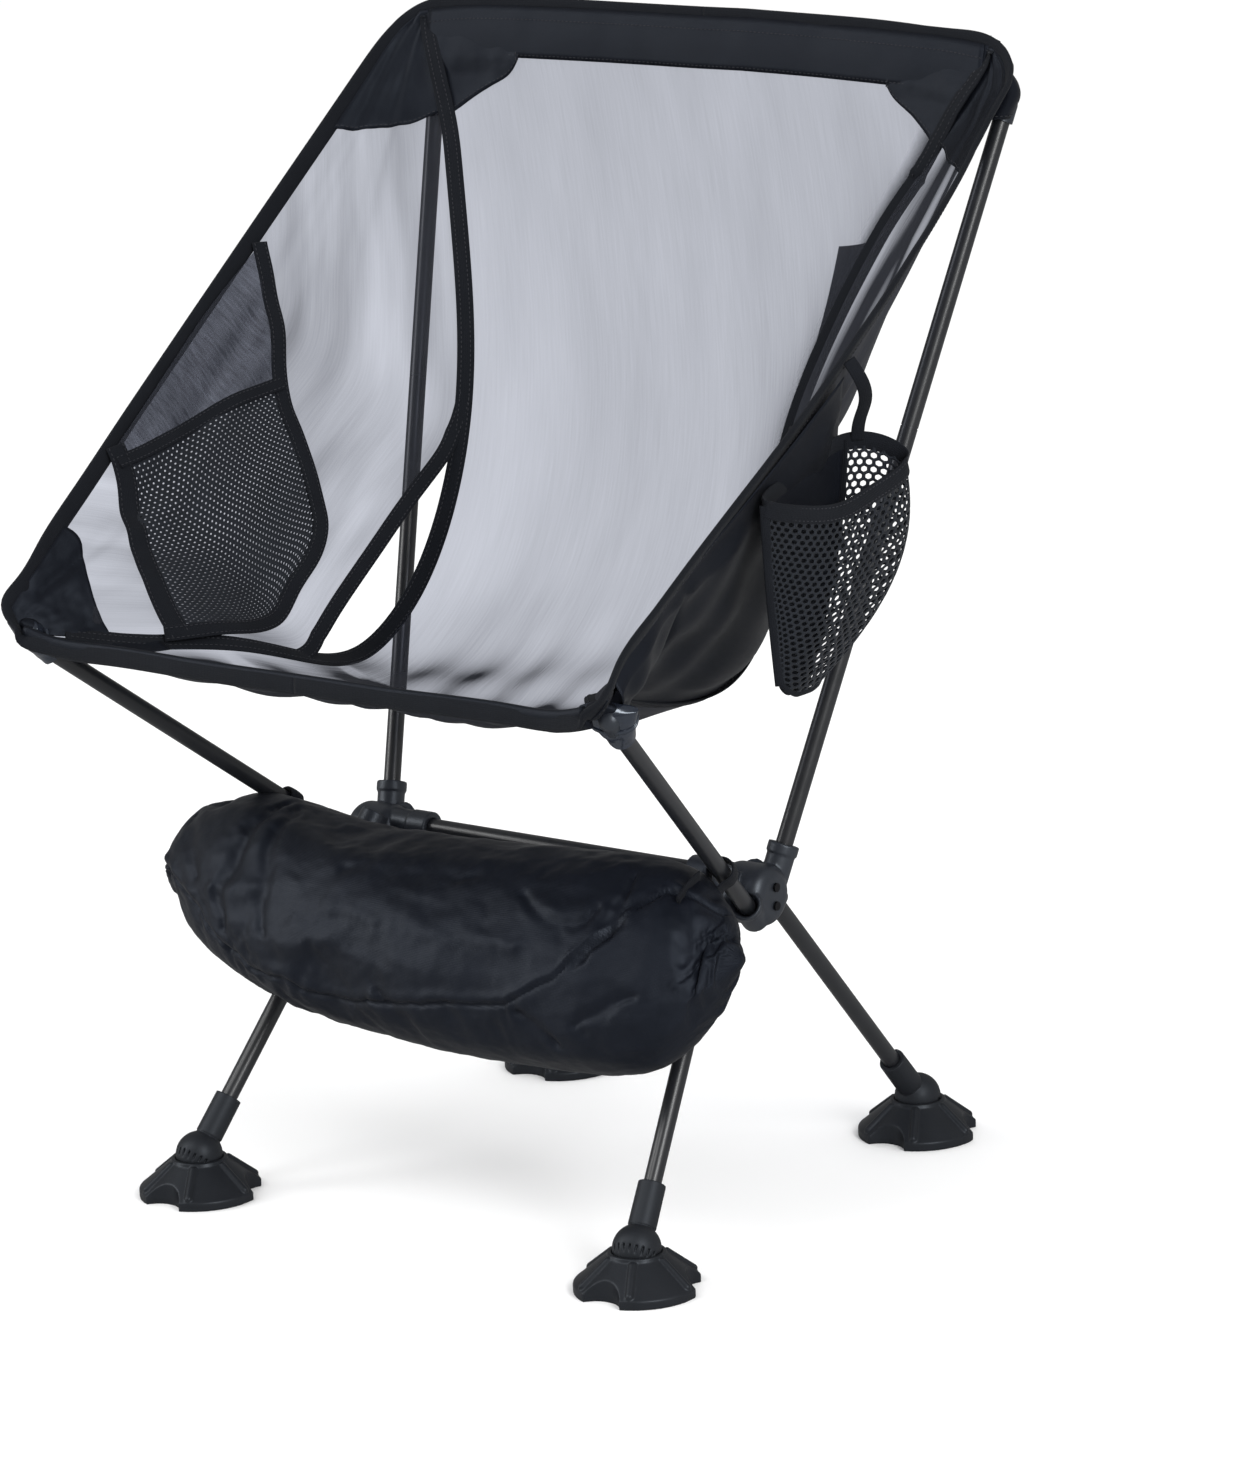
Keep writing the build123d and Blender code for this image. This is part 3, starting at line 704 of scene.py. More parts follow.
def build_top_band():
    """Folded band across the top of the centre panel, between the two corner patches."""
    t, x = lattice(9, 120, over=(-1, 1))
    half = Run(TOP_EDGE + TOP_CORNER[:1])
    top = np.array([sided(half(abs(a) * 0.985), 1 if a >= 0 else -1) for a in x[0]])
    drop = t * TOP_BAND_HEIGHT
    points = top + np.stack([0 * t, -drop * 0.13 - 1.2 * np.sin(np.pi * t) - 1.0, -drop], axis=-1)
    points += ripple(points, 60, 0.9, seed=3)[..., None] * np.array([0, 1, 0])
    band = cloth_piece("top_band_cloth", points, M["nylon"], TOP_BAND_THICKNESS)
    ride(band, ["top_band"])
    for row, line in enumerate((points[2] + (0, -1.0, 0), points[-1] + (0, -1.0, 1.8))):
        add_stitches(f"top_band_stitches_{row}", line, (0.0, -1.0, 0.1), radius=0.26)


HEM_SECTION = [(6.5, 0), (6, 1.6), (3, 2.4), (-3, 2.2), (-6, 1.5), (-6.8, 0), (-6, -1.5), (-3, -2.2), (3, -2.4),
               (6, -1.6)]


def build_front_hem():
    """Rolled hem along the front of the seat, under the rim binding."""
    run = Run([sided(p, RIGHT) for p in FRONT_EDGE[1:-1]] + [FRONT_EDGE[-1]] + FRONT_EDGE[1:-1][::-1])
    path = run(np.linspace(0, 1, 160)) + (0, 2.0, 0)
    hem = sweep("front_hem_cloth", path, np.array((0.0, -0.25, 1.0)), HEM_SECTION, M["nylon"])
    ride(hem, ["front_hem"])


# ---------------------------------------------------------------- corner patches and pole pockets

def inside(bottom, top, left, right, s, t):
    """Points inside four boundary curves: bottom and top are read at the shares t, left and right at s."""
    b, e, a, c = Run(bottom)(t), Run(top)(t), Run(left)(s), Run(right)(s)
    s, t = s[..., None], t[..., None]
    corners = ((1 - s) * (1 - t) * bottom[0] + (1 - s) * t * bottom[-1] + s * (1 - t) * top[0]
               + s * t * top[-1])
    return (1 - s) * b + s * e + (1 - t) * a + t * c - corners


def between(first, last, left, right, s, t):
    """Points between two boundary curves whose ends are joined through points on the left and the right."""
    return inside(first, last, [first[0], *left, last[0]], [first[-1], *right, last[-1]], s, t)


def on_side(places, lift):
    """Puts (u, v, 0) values on the left side panel."""
    u, v = places[..., 0], places[..., 1]
    return side_surface(u, v, side_ripple(u, v) + lift)


PATCH_GRID = (26, 34)
# Boundary of the rear corner patch on the side panel, from the bound edge to the seam, as (u, v)
REAR_PATCH = [(0.20, 0.965, 0), (0.185, 0.85, 0), (0.162, 0.679, 0), (0.135, 0.42, 0), (0.118, 0.276, 0),
              (0.098, 0.02, 0)]
REAR_PATCH_TOP = [(0.005, 0.955, 0), (0.0, 0.5, 0), (0.0, 0.02, 0)]
# Boundary of the front corner patch on the side panel
FRONT_PATCH = [(0.872, 0.97, 0), (0.867, 0.865, 0), (0.880, 0.76, 0), (0.892, 0.677, 0), (0.919, 0.362, 0),
               (0.937, 0.03, 0)]
FRONT_PATCH_END = [(0.998, 0.96, 0), (1.0, 0.5, 0), (1.0, 0.02, 0)]
PATCH_LIFT = 1.1
# The rim round the front corner, from the side to the front hem, which the front patch is sewn into
FRONT_CORNER_RIM = [(216.5, -230, 361.5), (211, -231.5, 353.5), (202, -231.5, 348), (188, -228.5, 343.5)]
FRONT_CENTRE_PATCH_U, FRONT_CENTRE_PATCH_W = (0.90, 0.998), (0.82, 1.02)
# Corner patch on the centre panel, as (x, z): its edge on the rim, and its lower boundary
BACK_PATCH_RIM = [(137, 672, 0), (160, 671.5, 0), (182, 670.5, 0), (206, 667.5, 0)]
BACK_PATCH = [(135, 640, 0), (141, 631, 0), (152, 624, 0), (168, 614, 0), (182.5, 603, 0)]


def back_point(x, z, lift):
    """Point on the sitter's side of the seat back, a little prouder over the folded top band."""
    x, z = np.broadcast_arrays(np.asarray(x, float), np.asarray(z, float))
    heights = [m[2] for m in MIDDLE[:5]][::-1]
    middle_y = np.interp(z, heights + [672], [m[1] for m in MIDDLE[:5]][::-1] + [166.0])
    seam_z = [m[2] for m in SEAM[:5]][::-1]
    seam_y = np.interp(z, seam_z + [672], [m[1] for m in SEAM[:5]][::-1] + [162.5])
    seam_x = np.interp(z, seam_z + [672], [m[0] for m in SEAM[:5]][::-1] + [209.0])
    curl = np.clip(np.abs(x) / seam_x, 0, 1) ** PANEL_CURL
    y = middle_y + (seam_y - middle_y) * curl - lift - 2.4 * np.clip((z - 630) / 10, 0, 1)
    return np.stack([x, y, z], axis=-1)


def build_corner_patches(side, word):
    """Coated nylon over the rear and front corners of the side panel, and over the centre panel's corner."""
    s, t = lattice(*PATCH_GRID)
    rear = between(REAR_PATCH_TOP, REAR_PATCH, [], [], s, t)
    points = on_side(rear, PATCH_LIFT)
    loose = np.clip((1 - rear[..., 1]) * 5, 0, 1)
    points = points + (ripple(points, 22, 1.3, seed=5) * loose)[..., None] * np.array([-0.7, -0.5, 0.2])
    add_patch("rear_patch_side_" + word, points, side)
    out = unit(on_side(rear, PATCH_LIFT + 1)[-1] - on_side(rear, PATCH_LIFT)[-1])
    add_stitches("rear_patch_stitches_" + word, points[-2] * 0.6 + points[-1] * 0.4 + out * 0.5, out, side,
                 "corner_fabric")

    grid = between(BACK_PATCH_RIM, BACK_PATCH, [(136.5, 656, 0)], [(199, 640, 0)], s, t)
    points = back_point(grid[..., 0], grid[..., 1], 1.2)
    points = points + ripple(points, 18, 0.7, seed=7)[..., None] * np.array([0, 1, 0])
    add_patch("rear_patch_centre_" + word, points, side)
    border = np.concatenate([points[:, 1], points[-2, 1:-1]])
    out = np.array((0.0, -1.0, 0.1))
    add_stitches("rear_patch_centre_stitches_" + word, border + out * 0.5, out, side, "corner_fabric")

    front = between(FRONT_PATCH, FRONT_PATCH_END, [], [], s, t)
    points = on_side(front, PATCH_LIFT)
    points = points + ripple(points, 20, 2.2, seed=9)[..., None] * np.array([-0.8, -0.2, 0.4])
    points = to_edge(points, Run(FRONT_CORNER_RIM)(np.linspace(0, 1, PATCH_GRID[1])))
    add_patch("front_patch_side_" + word, points, side)


def build_front_centre_patch(side, word):
    """Nylon over the centre panel's front corner, between the seam and the hem."""
    u, share = lattice(20, 20, FRONT_CENTRE_PATCH_U)
    inner = FRONT_CENTRE_PATCH_W[0] + 0.12 * (1 - (u - FRONT_CENTRE_PATCH_U[0]) / 0.098)
    points = to_front_hem(centre_surface(u, inner + (FRONT_CENTRE_PATCH_W[1] - inner) * share, 1.6))
    add_patch("front_patch_centre_" + word, points, side)


# Ends of the left front pole's axis
FRONT_TIP, FRONT_BASE = np.array((211.4, -222.7, 349.4)), np.array((144.6, -6.7, 179.3))

# Rings of the rear pole pocket from its top to its open bottom: centre, half width and half depth
REAR_POCKET = [((199, 163.5, 666), 12, 1.6), ((202, 165, 660), 15, 3.6), ((206, 167.5, 648), 16, 6.6),
               ((209.2, 169.8, 636), 14, 8.2), ((208.6, 168.6, 628), 12.5, 8.4),
               ((207.6, 166.6, 621), 11.0, 8.6)]


def build_rear_pocket(side, word):
    """Sleeve behind the rear corner, open at the bottom, which holds the pole's tip."""
    wide, deep = np.array((0.8, -0.6, 0.0)), np.array((0.6, 0.8, 0.0))
    centre_run = Run([ring[0] for ring in REAR_POCKET])
    size_run = Run([(ring[0][2], ring[1], ring[2]) for ring in REAR_POCKET])
    angles = np.linspace(0, 2 * math.pi, 48, endpoint=False)
    grid = []
    for t in np.linspace(0, 1, 24):
        _, half_wide, half_deep = size_run(t)
        grid.append(centre_run(t) + np.outer(np.cos(angles), wide) * half_wide
                    + np.outer(np.sin(angles), deep) * half_deep)
    points = np.array(grid)
    points = points + ripple(points, 14, 0.8, seed=13)[..., None] * deep
    faces = tube_faces(*points.shape[:2], both=False)
    piece = make_piece("rear_pole_pocket_" + word, sided(points, side), faces, M["nylon"])
    thicken(ride(piece, ["rear_corner_pocket_" + word]), 0.8, 1)
    ring = np.concatenate([points[-2], points[-2][:1]])
    out = unit(ring - ring.mean(0))
    add_stitches("rear_pole_pocket_stitches_" + word, ring + out * 0.2, out, side, "corner_fabric")


# Corner cloth folded over the pocket's top: half sizes across, up and along the pole, and shift from its tip
CORNER_FOLD_SIZE = (10.5, 5.5, 9.5)
CORNER_FOLD_SHIFT = (-5.0, 2.0, 2.5)
# Row of the pocket, about a millimetre apart from its top, that its rolled lip follows
POCKET_LIP_ROW = 10


def build_front_pocket(side, word):
    """Vinyl wedge under the front corner that the front pole's tip slips into."""
    down = unit(FRONT_BASE - FRONT_TIP)
    wide = unit(np.cross(down, (0, 0, 1.0)))
    up = np.cross(wide, down)
    rows, ring = 26, 44
    angles = np.linspace(0, 2 * math.pi, ring, endpoint=False)
    grid = []
    for t in np.linspace(0, 1, rows):
        centre = FRONT_TIP - down * (4 - 27 * t)
        half_wide = 7.8 + 9.0 * (1 - t) ** 1.2
        half_tall = 4.2 + 3.6 * min(t / 0.45, 1) ** 0.7
        px = boxed(np.cos(angles), 0.85) * half_wide
        py = boxed(np.sin(angles), 0.85) * half_tall
        grid.append(centre + px[:, None] * wide + (py + 3.5 * (1 - t))[:, None] * up)
    points = np.array(grid)
    points = points + ripple(points, 15, 1.5, seed=17)[..., None] * up
    faces = tube_faces(rows, ring, both=False)
    piece = make_piece("front_pole_pocket_" + word, sided(points, side), faces, M["vinyl"])
    ride(piece, ["front_corner_pocket_" + word])
    lip = sweep("front_pole_pocket_lip_" + word, sided(points[POCKET_LIP_ROW], side), down * (side, 1, 1),
                webbing_section(*POCKET_LIP_TAPE), M["vinyl"], closed=True)
    ride(lip)
    turns, drops = lattice(40, 24, (0, 2 * math.pi), (0, math.pi))
    folded = np.stack([np.cos(turns) * np.sin(drops), np.sin(turns) * np.sin(drops), np.cos(drops)], axis=-1)
    folded = folded * CORNER_FOLD_SIZE @ np.array([wide, up, -down]) + FRONT_TIP + CORNER_FOLD_SHIFT
    folded = folded + ripple(folded, 12, 1.4, seed=19)[..., None] * up
    ride(sheet_piece("front_corner_fold_" + word, sided(folded, side), M["nylon"]))


# ---------------------------------------------------------------- open mesh and pockets

def hex_mesh(name, place, width, height, pitch, row_pitch, hole, material, thickness, keep=None):
    """Open mesh of staggered holes with real bars; place maps millimetres across and down to points, and keep
    says which cells to make."""
    columns, rows = int(width / pitch) + 1, int(height / row_pitch) + 1
    points, faces, index = [], [], {}

    def vertex(x, y):
        key = (round(x * 1e4), round(y * 1e4))
        if key not in index:
            index[key] = len(points)
            points.append((x * pitch, y * row_pitch))
        return index[key]

    cell = [(0, -2 / 3), (0.5, -1 / 3), (0.5, 1 / 3), (0, 2 / 3), (-0.5, 1 / 3), (-0.5, -1 / 3)]
    for r in range(rows + 1):
        for c in range(columns + 1):
            cx, cy = c + 0.5 * (r % 2), r
            if cx * pitch > width or cy * row_pitch > height:
                continue
            if keep is not None and not keep(cx * pitch, cy * row_pitch):
                continue
            outer = [vertex(cx + a, cy + b) for a, b in cell]
            ring = []
            for k in range(6):
                a, b = cell[k]
                d, e = cell[(k + 1) % 6]
                ring.append(vertex(cx + a * hole, cy + b * hole))
                ring.append(vertex(cx + (a + d) / 2 * hole * 1.06, cy + (b + e) / 2 * hole * 1.06))
            for k in range(6):
                n = (k + 1) % 6
                faces.append((outer[k], outer[n], ring[2 * k + 1], ring[2 * k]))
                faces.append((outer[n], ring[(2 * k + 2) % 12], ring[2 * k + 1]))
    flat = np.clip(np.array(points), 0, (width, height))
    piece = make_piece(name, place(flat[:, 0], flat[:, 1]), faces, material, flat * MM)
    return thicken(piece, thickness)


# Stash pocket on the sitter's right, as (u, v) on the side panel
POCKET_HEM = [(0.757, 0.945, 0), (0.682, 0.854, 0), (0.596, 0.757, 0), (0.509, 0.625, 0)]
POCKET_FRONT = [(0.757, 0.945, 0), (0.790, 0.79, 0), (0.818, 0.644, 0), (0.850, 0.40, 0), (0.874, 0.12, 0)]
POCKET_BACK = [(0.509, 0.625, 0), (0.536, 0.527, 0), (0.570, 0.39, 0), (0.602, 0.28, 0), (0.625, 0.222, 0),
               (0.652, 0.196, 0)]
POCKET_BOTTOM = [(0.874, 0.12, 0), (0.803, 0.12, 0), (0.740, 0.175, 0), (0.690, 0.196, 0), (0.652, 0.196, 0)]
SLEEVE_TOP = [(0.757, 0.985, 0), (0.62, 0.985, 0), (0.50, 0.985, 0), (0.389, 0.96, 0)]
SLEEVE_BACK = [(0.389, 0.96, 0), (0.425, 0.84, 0), (0.462, 0.729, 0), (0.509, 0.625, 0)]
STASH_BACK_TAPE = [(0.389, 0.965, 0), (0.427, 0.85, 0), (0.466, 0.742, 0), (0.508, 0.640, 0), (0.538, 0.53, 0),
                   (0.570, 0.385, 0), (0.602, 0.27, 0), (0.625, 0.214, 0), (0.655, 0.190, 0), (0.69, 0.190, 0),
                   (0.735, 0.166, 0), (0.78, 0.128, 0), (0.82, 0.095, 0), (0.86, 0.066, 0), (0.885, 0.055, 0)]
STASH_FRONT_TAPE = [(0.745, 0.99, 0), (0.750, 0.945, 0), (0.783, 0.79, 0), (0.811, 0.644, 0), (0.843, 0.40, 0),
                    (0.868, 0.10, 0), (0.871, 0.04, 0)]
# The open mesh's cut size, and the share of that rectangle that the cloth takes up
POCKET_SIZE, POCKET_SHARE = (150, 125), 0.7
POCKET_LIFT, POCKET_BELLY = 3.0, 6
POCKET_BARS = dict(pitch=4.6, row_pitch=2.4, hole=0.34, thickness=0.5)


def surface_tape(name, outline, lift, count=90, width=8.6):
    """Tape along a line on the left side panel, mirrored to the right, with two rows of stitches."""
    line = Run(outline)(np.linspace(0, 1, count))
    path = on_side(line, lift)
    out = unit(on_side(line, lift + 1) - path)
    across = np.cross(tangents(path), out)
    add_tape(name, path, across, (width, STASH_TAPE_THICKNESS), RIGHT)
    for row, offset in enumerate((-width / 2 + 1.6, width / 2 - 1.6)):
        add_stitches(f"{name}_stitches_{row}", path + across * offset + out * 0.75, out, RIGHT)


def build_stash_pocket():
    """Open mesh pocket with a fine mesh sleeve over it, on the inner face of the right side panel."""
    sleeve = inside(SLEEVE_TOP, POCKET_HEM, [SLEEVE_TOP[0], POCKET_HEM[0]], SLEEVE_BACK, *lattice(24, 60))
    add_sheet("stash_pocket_sleeve", sided(on_side(sleeve, POCKET_LIFT), RIGHT), "sleeve",
              ["stash_pocket_lining_right"])

    def place(across, down):
        s, t = down / POCKET_SIZE[1], across / POCKET_SIZE[0]
        flat = inside(POCKET_HEM, POCKET_BOTTOM, POCKET_FRONT, POCKET_BACK, s, t)
        return sided(on_side(flat, POCKET_LIFT + POCKET_BELLY * np.sin(np.pi * s) * np.sin(np.pi * t)), RIGHT)

    pocket = hex_mesh("stash_pocket_mesh", place, *POCKET_SIZE, material=M["open"], **POCKET_BARS)
    ride(pocket, ["stash_pocket_right"])
    surface_tape("stash_hem_tape", POCKET_HEM, 4.2)
    surface_tape("stash_front_tape", STASH_FRONT_TAPE, 3.6, width=13.0)
    surface_tape("stash_back_tape", STASH_BACK_TAPE, 3.8, 140, 9.6)


# Mouth of the cup pocket on the sitter's left, round from its front corner, and its bottom line
CUP_MOUTH = [(229, -102, 447), (236, -76, 439), (240, -47, 436), (242, -12, 443), (240, 15, 455),
             (231, 10, 463), (219, -5, 467), (219, -40, 461), (222, -75, 453)]
CUP_BOTTOM_CENTRE = (226.0, -70.0, 333.0)
CUP_BOTTOM_HALF = (2.5, 17.0)
CUP_MESH_TURN = 0.63
CUP_HEIGHT, CUP_SHARE = 112.0, 0.5
CUP_STRAP = [(230.5, -22, 512), (235, -19, 503), (231, -8, 486), (224, -4, 474), (221, -2, 463)]
CUP_BARS = dict(pitch=5.6, row_pitch=3.5, hole=0.62, thickness=0.7)
# The open mesh's first and last depth, and the outward directions of the tapes at its two edges
CUP_MESH_DEPTH = (0.03, 0.995)
CUP_EDGES = (("front", 0.0, (0.75, -0.65, 0.1)), ("rear", CUP_MESH_TURN, (-0.2, 1.0, 0.0)))


def closed_run(points):
    """Closed curve through points, as a Run over two overlapping turns read in the middle."""
    turns = list(points) * 3 + [points[0]]
    run = Run(turns)
    start = run.knots[len(points)]
    end = run.knots[2 * len(points)]
    return lambda t: run(start + (end - start) * np.asarray(t, float))


cup_mouth = closed_run(CUP_MOUTH)


def cup_bottom_rise(share):
    """How far the pocket's rounded bottom rises towards its front corner (share -1) and its rear one (1)."""
    return 15.0 * np.clip(-share - 0.35, 0, 1) ** 1.6 + 6.0 * np.clip(share - 0.3, 0, 1) ** 1.5


def cup_point(turn, depth, out=0.0):
    """Point of the cup pocket: turn round its mouth from the front corner, depth 0 at the mouth to 1 at the
    bottom."""
    turn, depth = np.broadcast_arrays(np.asarray(turn, float), np.asarray(depth, float))
    mouth = cup_mouth(turn)
    centre = np.array(CUP_MOUTH).mean(0)
    radial = mouth - centre
    angle = np.arctan2(radial[..., 1] / 58, radial[..., 0] / 12)
    low = np.stack([CUP_BOTTOM_CENTRE[0] + CUP_BOTTOM_HALF[0] * np.cos(angle),
                    CUP_BOTTOM_CENTRE[1] + CUP_BOTTOM_HALF[1] * np.sin(angle),
                    CUP_BOTTOM_CENTRE[2] + cup_bottom_rise(np.sin(angle))], axis=-1)
    back = np.clip((mouth[..., 1] + 60) / 75, 0, 1)
    eased = depth ** (1 + 1.3 * back)
    point = mouth + (low - mouth) * np.stack([eased, eased, depth], axis=-1)
    outer = np.clip(np.cos(angle), -0.3, 1)
    swell = np.sin(np.pi * np.clip(depth, 0, 1)) * (2 + 6 * outer)
    normal = unit(radial * (1, 0.25, 0))
    return point + normal * (swell + out)[..., None]


def cup_lengths(depth):
    """Girth of the open mesh part of the cup pocket at a depth, in millimetres."""
    ring = cup_point(np.linspace(0, CUP_MESH_TURN, 60), np.full(60, float(depth)))
    return np.linalg.norm(np.diff(ring, axis=0), axis=1).sum()


def build_cup_pocket():
    """Open mesh cup outside the left side panel, with a nylon back, hem, edge tapes and hanging strap."""
    depths = np.linspace(0, 1, 40)
    girths = np.array([cup_lengths(d) for d in depths])
    width, height = girths.max(), CUP_HEIGHT

    def depth(down):
        return CUP_MESH_DEPTH[0] + (CUP_MESH_DEPTH[1] - CUP_MESH_DEPTH[0]) * down / height

    def girth(down):
        return np.interp(depth(down), depths, girths)

    def place(across, down):
        share = np.clip(0.5 + (across - width / 2) / girth(down), 0, 1)
        return cup_point(share * CUP_MESH_TURN, depth(down))

    mesh = hex_mesh("cup_pocket_mesh", place, width, height, material=M["open"],
                    keep=lambda x, y: abs(x - width / 2) < girth(y) / 2 + 1.5, **CUP_BARS)
    ride(mesh, ["cup_pocket_left"])
    points = cup_point(*lattice(30, 40, (CUP_MESH_TURN, 1), (0.01, 0.99)))
    back = cloth_piece("cup_pocket_back", points, M["nylon"], CUP_BACK_THICKNESS)
    ride(back)
    turns = np.linspace(0, 1, 160, endpoint=False)
    path = cup_point(turns, 0.03, 0.4)
    across = cup_point(turns, 0.0) - cup_point(turns, 0.08)
    add_tape("cup_pocket_hem", path, across, CUP_HEM_TAPE, replaced=["cup_pocket_hem_left"], closed=True)
    outward = cup_point(turns, 0.03, 1.4) - path
    for row, offset in enumerate((-3.4, 3.4)):
        line = path + unit(across) * offset + outward * 0.8
        closed = np.concatenate([line, line[:1]]), np.concatenate([outward, outward[:1]])
        add_stitches(f"cup_pocket_hem_stitches_{row}", *closed)
    for name, turn, out in CUP_EDGES:
        edge = cup_point(np.full(60, turn), np.linspace(0.02, 0.99, 60), 0.5)
        add_tape(f"cup_pocket_{name}_tape", edge, np.cross(tangents(edge), unit(np.array(out))), CUP_EDGE_TAPE)
    add_tape("cup_pocket_base_tape", cup_point(turns, 0.985), np.array((0.0, 0.0, 1.0)), CUP_BASE_TAPE,
             closed=True)
    add_tape("cup_pocket_strap", Run(CUP_STRAP)(np.linspace(0, 1, 50)), np.array((0.55, 0.83, 0.1)),
             CUP_STRAP_TAPE, replaced=["cup_pocket_strap_left"])


# The side lining's ends along the panel, and its crease at the rim and how far that drifts down to the seam
LINING_RANGE = (0.515, 0.985)
LINING_CREASE = (0.83, -0.06)


def build_side_lining():
    """Nylon backing behind the cup pocket, from the bound edge down to the seam, outside the left panel."""
    u, t = lattice(90, 40, LINING_RANGE)
    seam = np.array([seam_run(seam_run.nearest(inner_run(f))) for f in u[:, 0]])[:, None]
    rim = side_surface(u, 0.985)
    points = rim + (seam - rim) * t[..., None]
    outward = unit(np.array((1.0, 0.0, -0.8)))
    slack = 2.2 * np.sin(u * 34 + t * 6) + 1.4 * np.sin(u * 71 - t * 9 + 1) + 0.9 * np.sin(u * 15 + t * 21)
    crease = -4.0 * np.exp(-((u - LINING_CREASE[0] - LINING_CREASE[1] * t) / 0.008) ** 2)
    hang = 3 + 11 * np.sin(np.pi * t) ** 0.8 + (slack + crease) * np.sin(np.pi * t) ** 0.6
    points = points + outward * (hang * np.clip((1 - t) * 8, 0.1, 1) * np.clip(t * 8, 0.1, 1))[..., None]
    lining = cloth_piece("side_lining_left", points, M["nylon"], LINING_THICKNESS)
    ride(lining)


SEAM_FACING_RANGE = (0.18, 0.32)
SEAM_SHADE_RANGE = (0.07, 0.44)


def build_seam_facing():
    """Behind the centre panel beside the left seam: a dense facing, and a mesh sheet of painted shade that
    darkens the panel next to the seam and fades out away from it.
    """
    u, s = lattice(40, 24, SEAM_FACING_RANGE)
    down = (u - SEAM_FACING_RANGE[0]) / (SEAM_FACING_RANGE[1] - SEAM_FACING_RANGE[0])
    points = centre_surface(u, 0.995 - s * (0.27 - 0.17 * down), -4.0 - 3.0 * np.sin(np.pi * s) + 2.0 * s)
    points[..., 2] -= (1 - down) * s * 5
    add_sheet("seam_facing_left", points, "facing")
    # Painted shade: a mesh sheet whose cover fades away from the seam, darkening the panel beside it
    u, s = lattice(90, 20, SEAM_SHADE_RANGE)
    wide = SEAM_SHADE_WIDTH / MM / seam_run(u)[..., 0]
    add_sheet("seam_shade_left", centre_surface(u, 0.998 - s * wide, -1.4), "seam_shade")


# ---------------------------------------------------------------- storage bag

# Outline of the bag across its width (x, half height up, half height down, half depth), in its leaning plane
BAG_OUTLINE = [(-229, 27, 13, 3), (-225, 38, 6, 8), (-217, 47, -3, 14), (-206, 55, -12, 21),
               (-190, 62, -25, 27), (-165, 68, -38, 33), (-115, 66, -56, 38), (-50, 62, -63, 40),
               (10, 64, -66, 41), (60, 66, -65, 40), (113, 69, -63, 37), (148, 65, -58, 31),
               (166, 54, -48, 25), (178, 43, -28, 19), (189, 30, -5, 12), (197, 21, 11, 4)]
BAG_SEAM = [(-215, 10), (-188, -6), (-163, -23), (-120, -46), (-79, -53), (-40, -56), (24, -51), (75, -44),
            (106, -26), (124, -1), (140, 26), (152, 42)]
# Folds of the bag's front, as (height, half width, line of (x, height) points): ridges above 0, valleys below
BAG_FOLDS = [(-2.6, 7.0, [(-135, 53), (-146, 15), (-144, -26)]),
             (-2.0, 6.0, [(-124, 51), (-118, 7), (-104, -31)]),
             (1.8, 11.0, [(-152, -10), (-90, -4), (-24, -14)]), (-1.6, 9.0, [(-60, 16), (30, 24)]),
             (-2.2, 5.0, [(70, 18), (102, 5), (119, 19)]), (-3.0, 5.0, [(128, 44), (130, 10), (122, -11)]),
             (-2.6, 4.5, [(147, 38), (136, 16), (117, -15)]), (-2.4, 5.0, [(151, 44), (166, 29), (176, 0)]),
             (-2.4, 5.5, [(168, 49), (190, 25)]), (-2.6, 4.5, [(81, -45), (109, -57)]),
             (-2.2, 6.0, [(-14, -51), (10, -66)]), (-2.4, 5.5, [(157, -26), (125, -48)]),
             (1.6, 12.0, [(3, -13), (77, -13)]), (-2.0, 7.0, [(-200, 38), (-176, 2)])]
FRONT_LEG = ((131.4, -14.5, 204.0), (162.5, -150.5, 24.0))
BAG_CENTRE = (0.0, -100.2, 168.2)
# Directions up and out from the slanting plane of the front legs, which the bag leans against
BAG_UP = unit((np.array(FRONT_LEG[0]) - FRONT_LEG[1]) * (0, 1, 1))
BAG_OUT = np.array([0.0, -BAG_UP[2], BAG_UP[1]])
BAG_MIDLINE = Run([row[:3] for row in BAG_OUTLINE])
BAG_DEPTHS = Run([(row[0], row[3], 0) for row in BAG_OUTLINE])(np.linspace(0, 1, 400))


def bag_point(along, turn, out=0.0):
    """Point of the bag: along 0..1 from the right end to the left, turn round its section from the top."""
    along, turn = np.broadcast_arrays(np.asarray(along, float), np.asarray(turn, float))
    row = BAG_MIDLINE(along)
    x, above, below = row[..., 0], row[..., 1], row[..., 2]
    angle = turn * 2 * math.pi
    up, forward = boxed(np.cos(angle), 0.9), boxed(np.sin(angle), 0.8)
    height = (above + below) / 2 + (above - below) / 2 * up
    depth = np.interp(x, BAG_DEPTHS[:, 0], BAG_DEPTHS[:, 1]) * forward
    point = np.stack([x, 0 * height, 0 * height], axis=-1) + np.array(BAG_CENTRE)
    point = point + height[..., None] * BAG_UP + depth[..., None] * BAG_OUT
    direction = unit(up[..., None] * BAG_UP * 0.8 + forward[..., None] * BAG_OUT)
    return point + direction * np.asarray(out)[..., None]


BAG_ROWS, BAG_COLUMNS = 110, 76
BAG_FRAMES = 16
BAG_PRESSURE = 2.0
BAG_SLACK = -0.07
BAG_MOVE_LIMIT = 8.0
# How much less the cloth moves at the bag's top and bottom than at its front
BAG_EDGE_CALM = 0.65
BAG_GRAVITY = 0.0
BAG_REFINE = 3
# Metres of cloth along the bag and round it, for its weave
BAG_UV_SIZE = (0.42, 0.30)
BAG_CLOTH = dict(quality=6, mass=0.12, tension_stiffness=12, compression_stiffness=8, shear_stiffness=4,
                 bending_stiffness=0.08, use_pressure=True, uniform_pressure_force=BAG_PRESSURE,
                 shrink_min=BAG_SLACK, vertex_group_mass="sewn_ends")


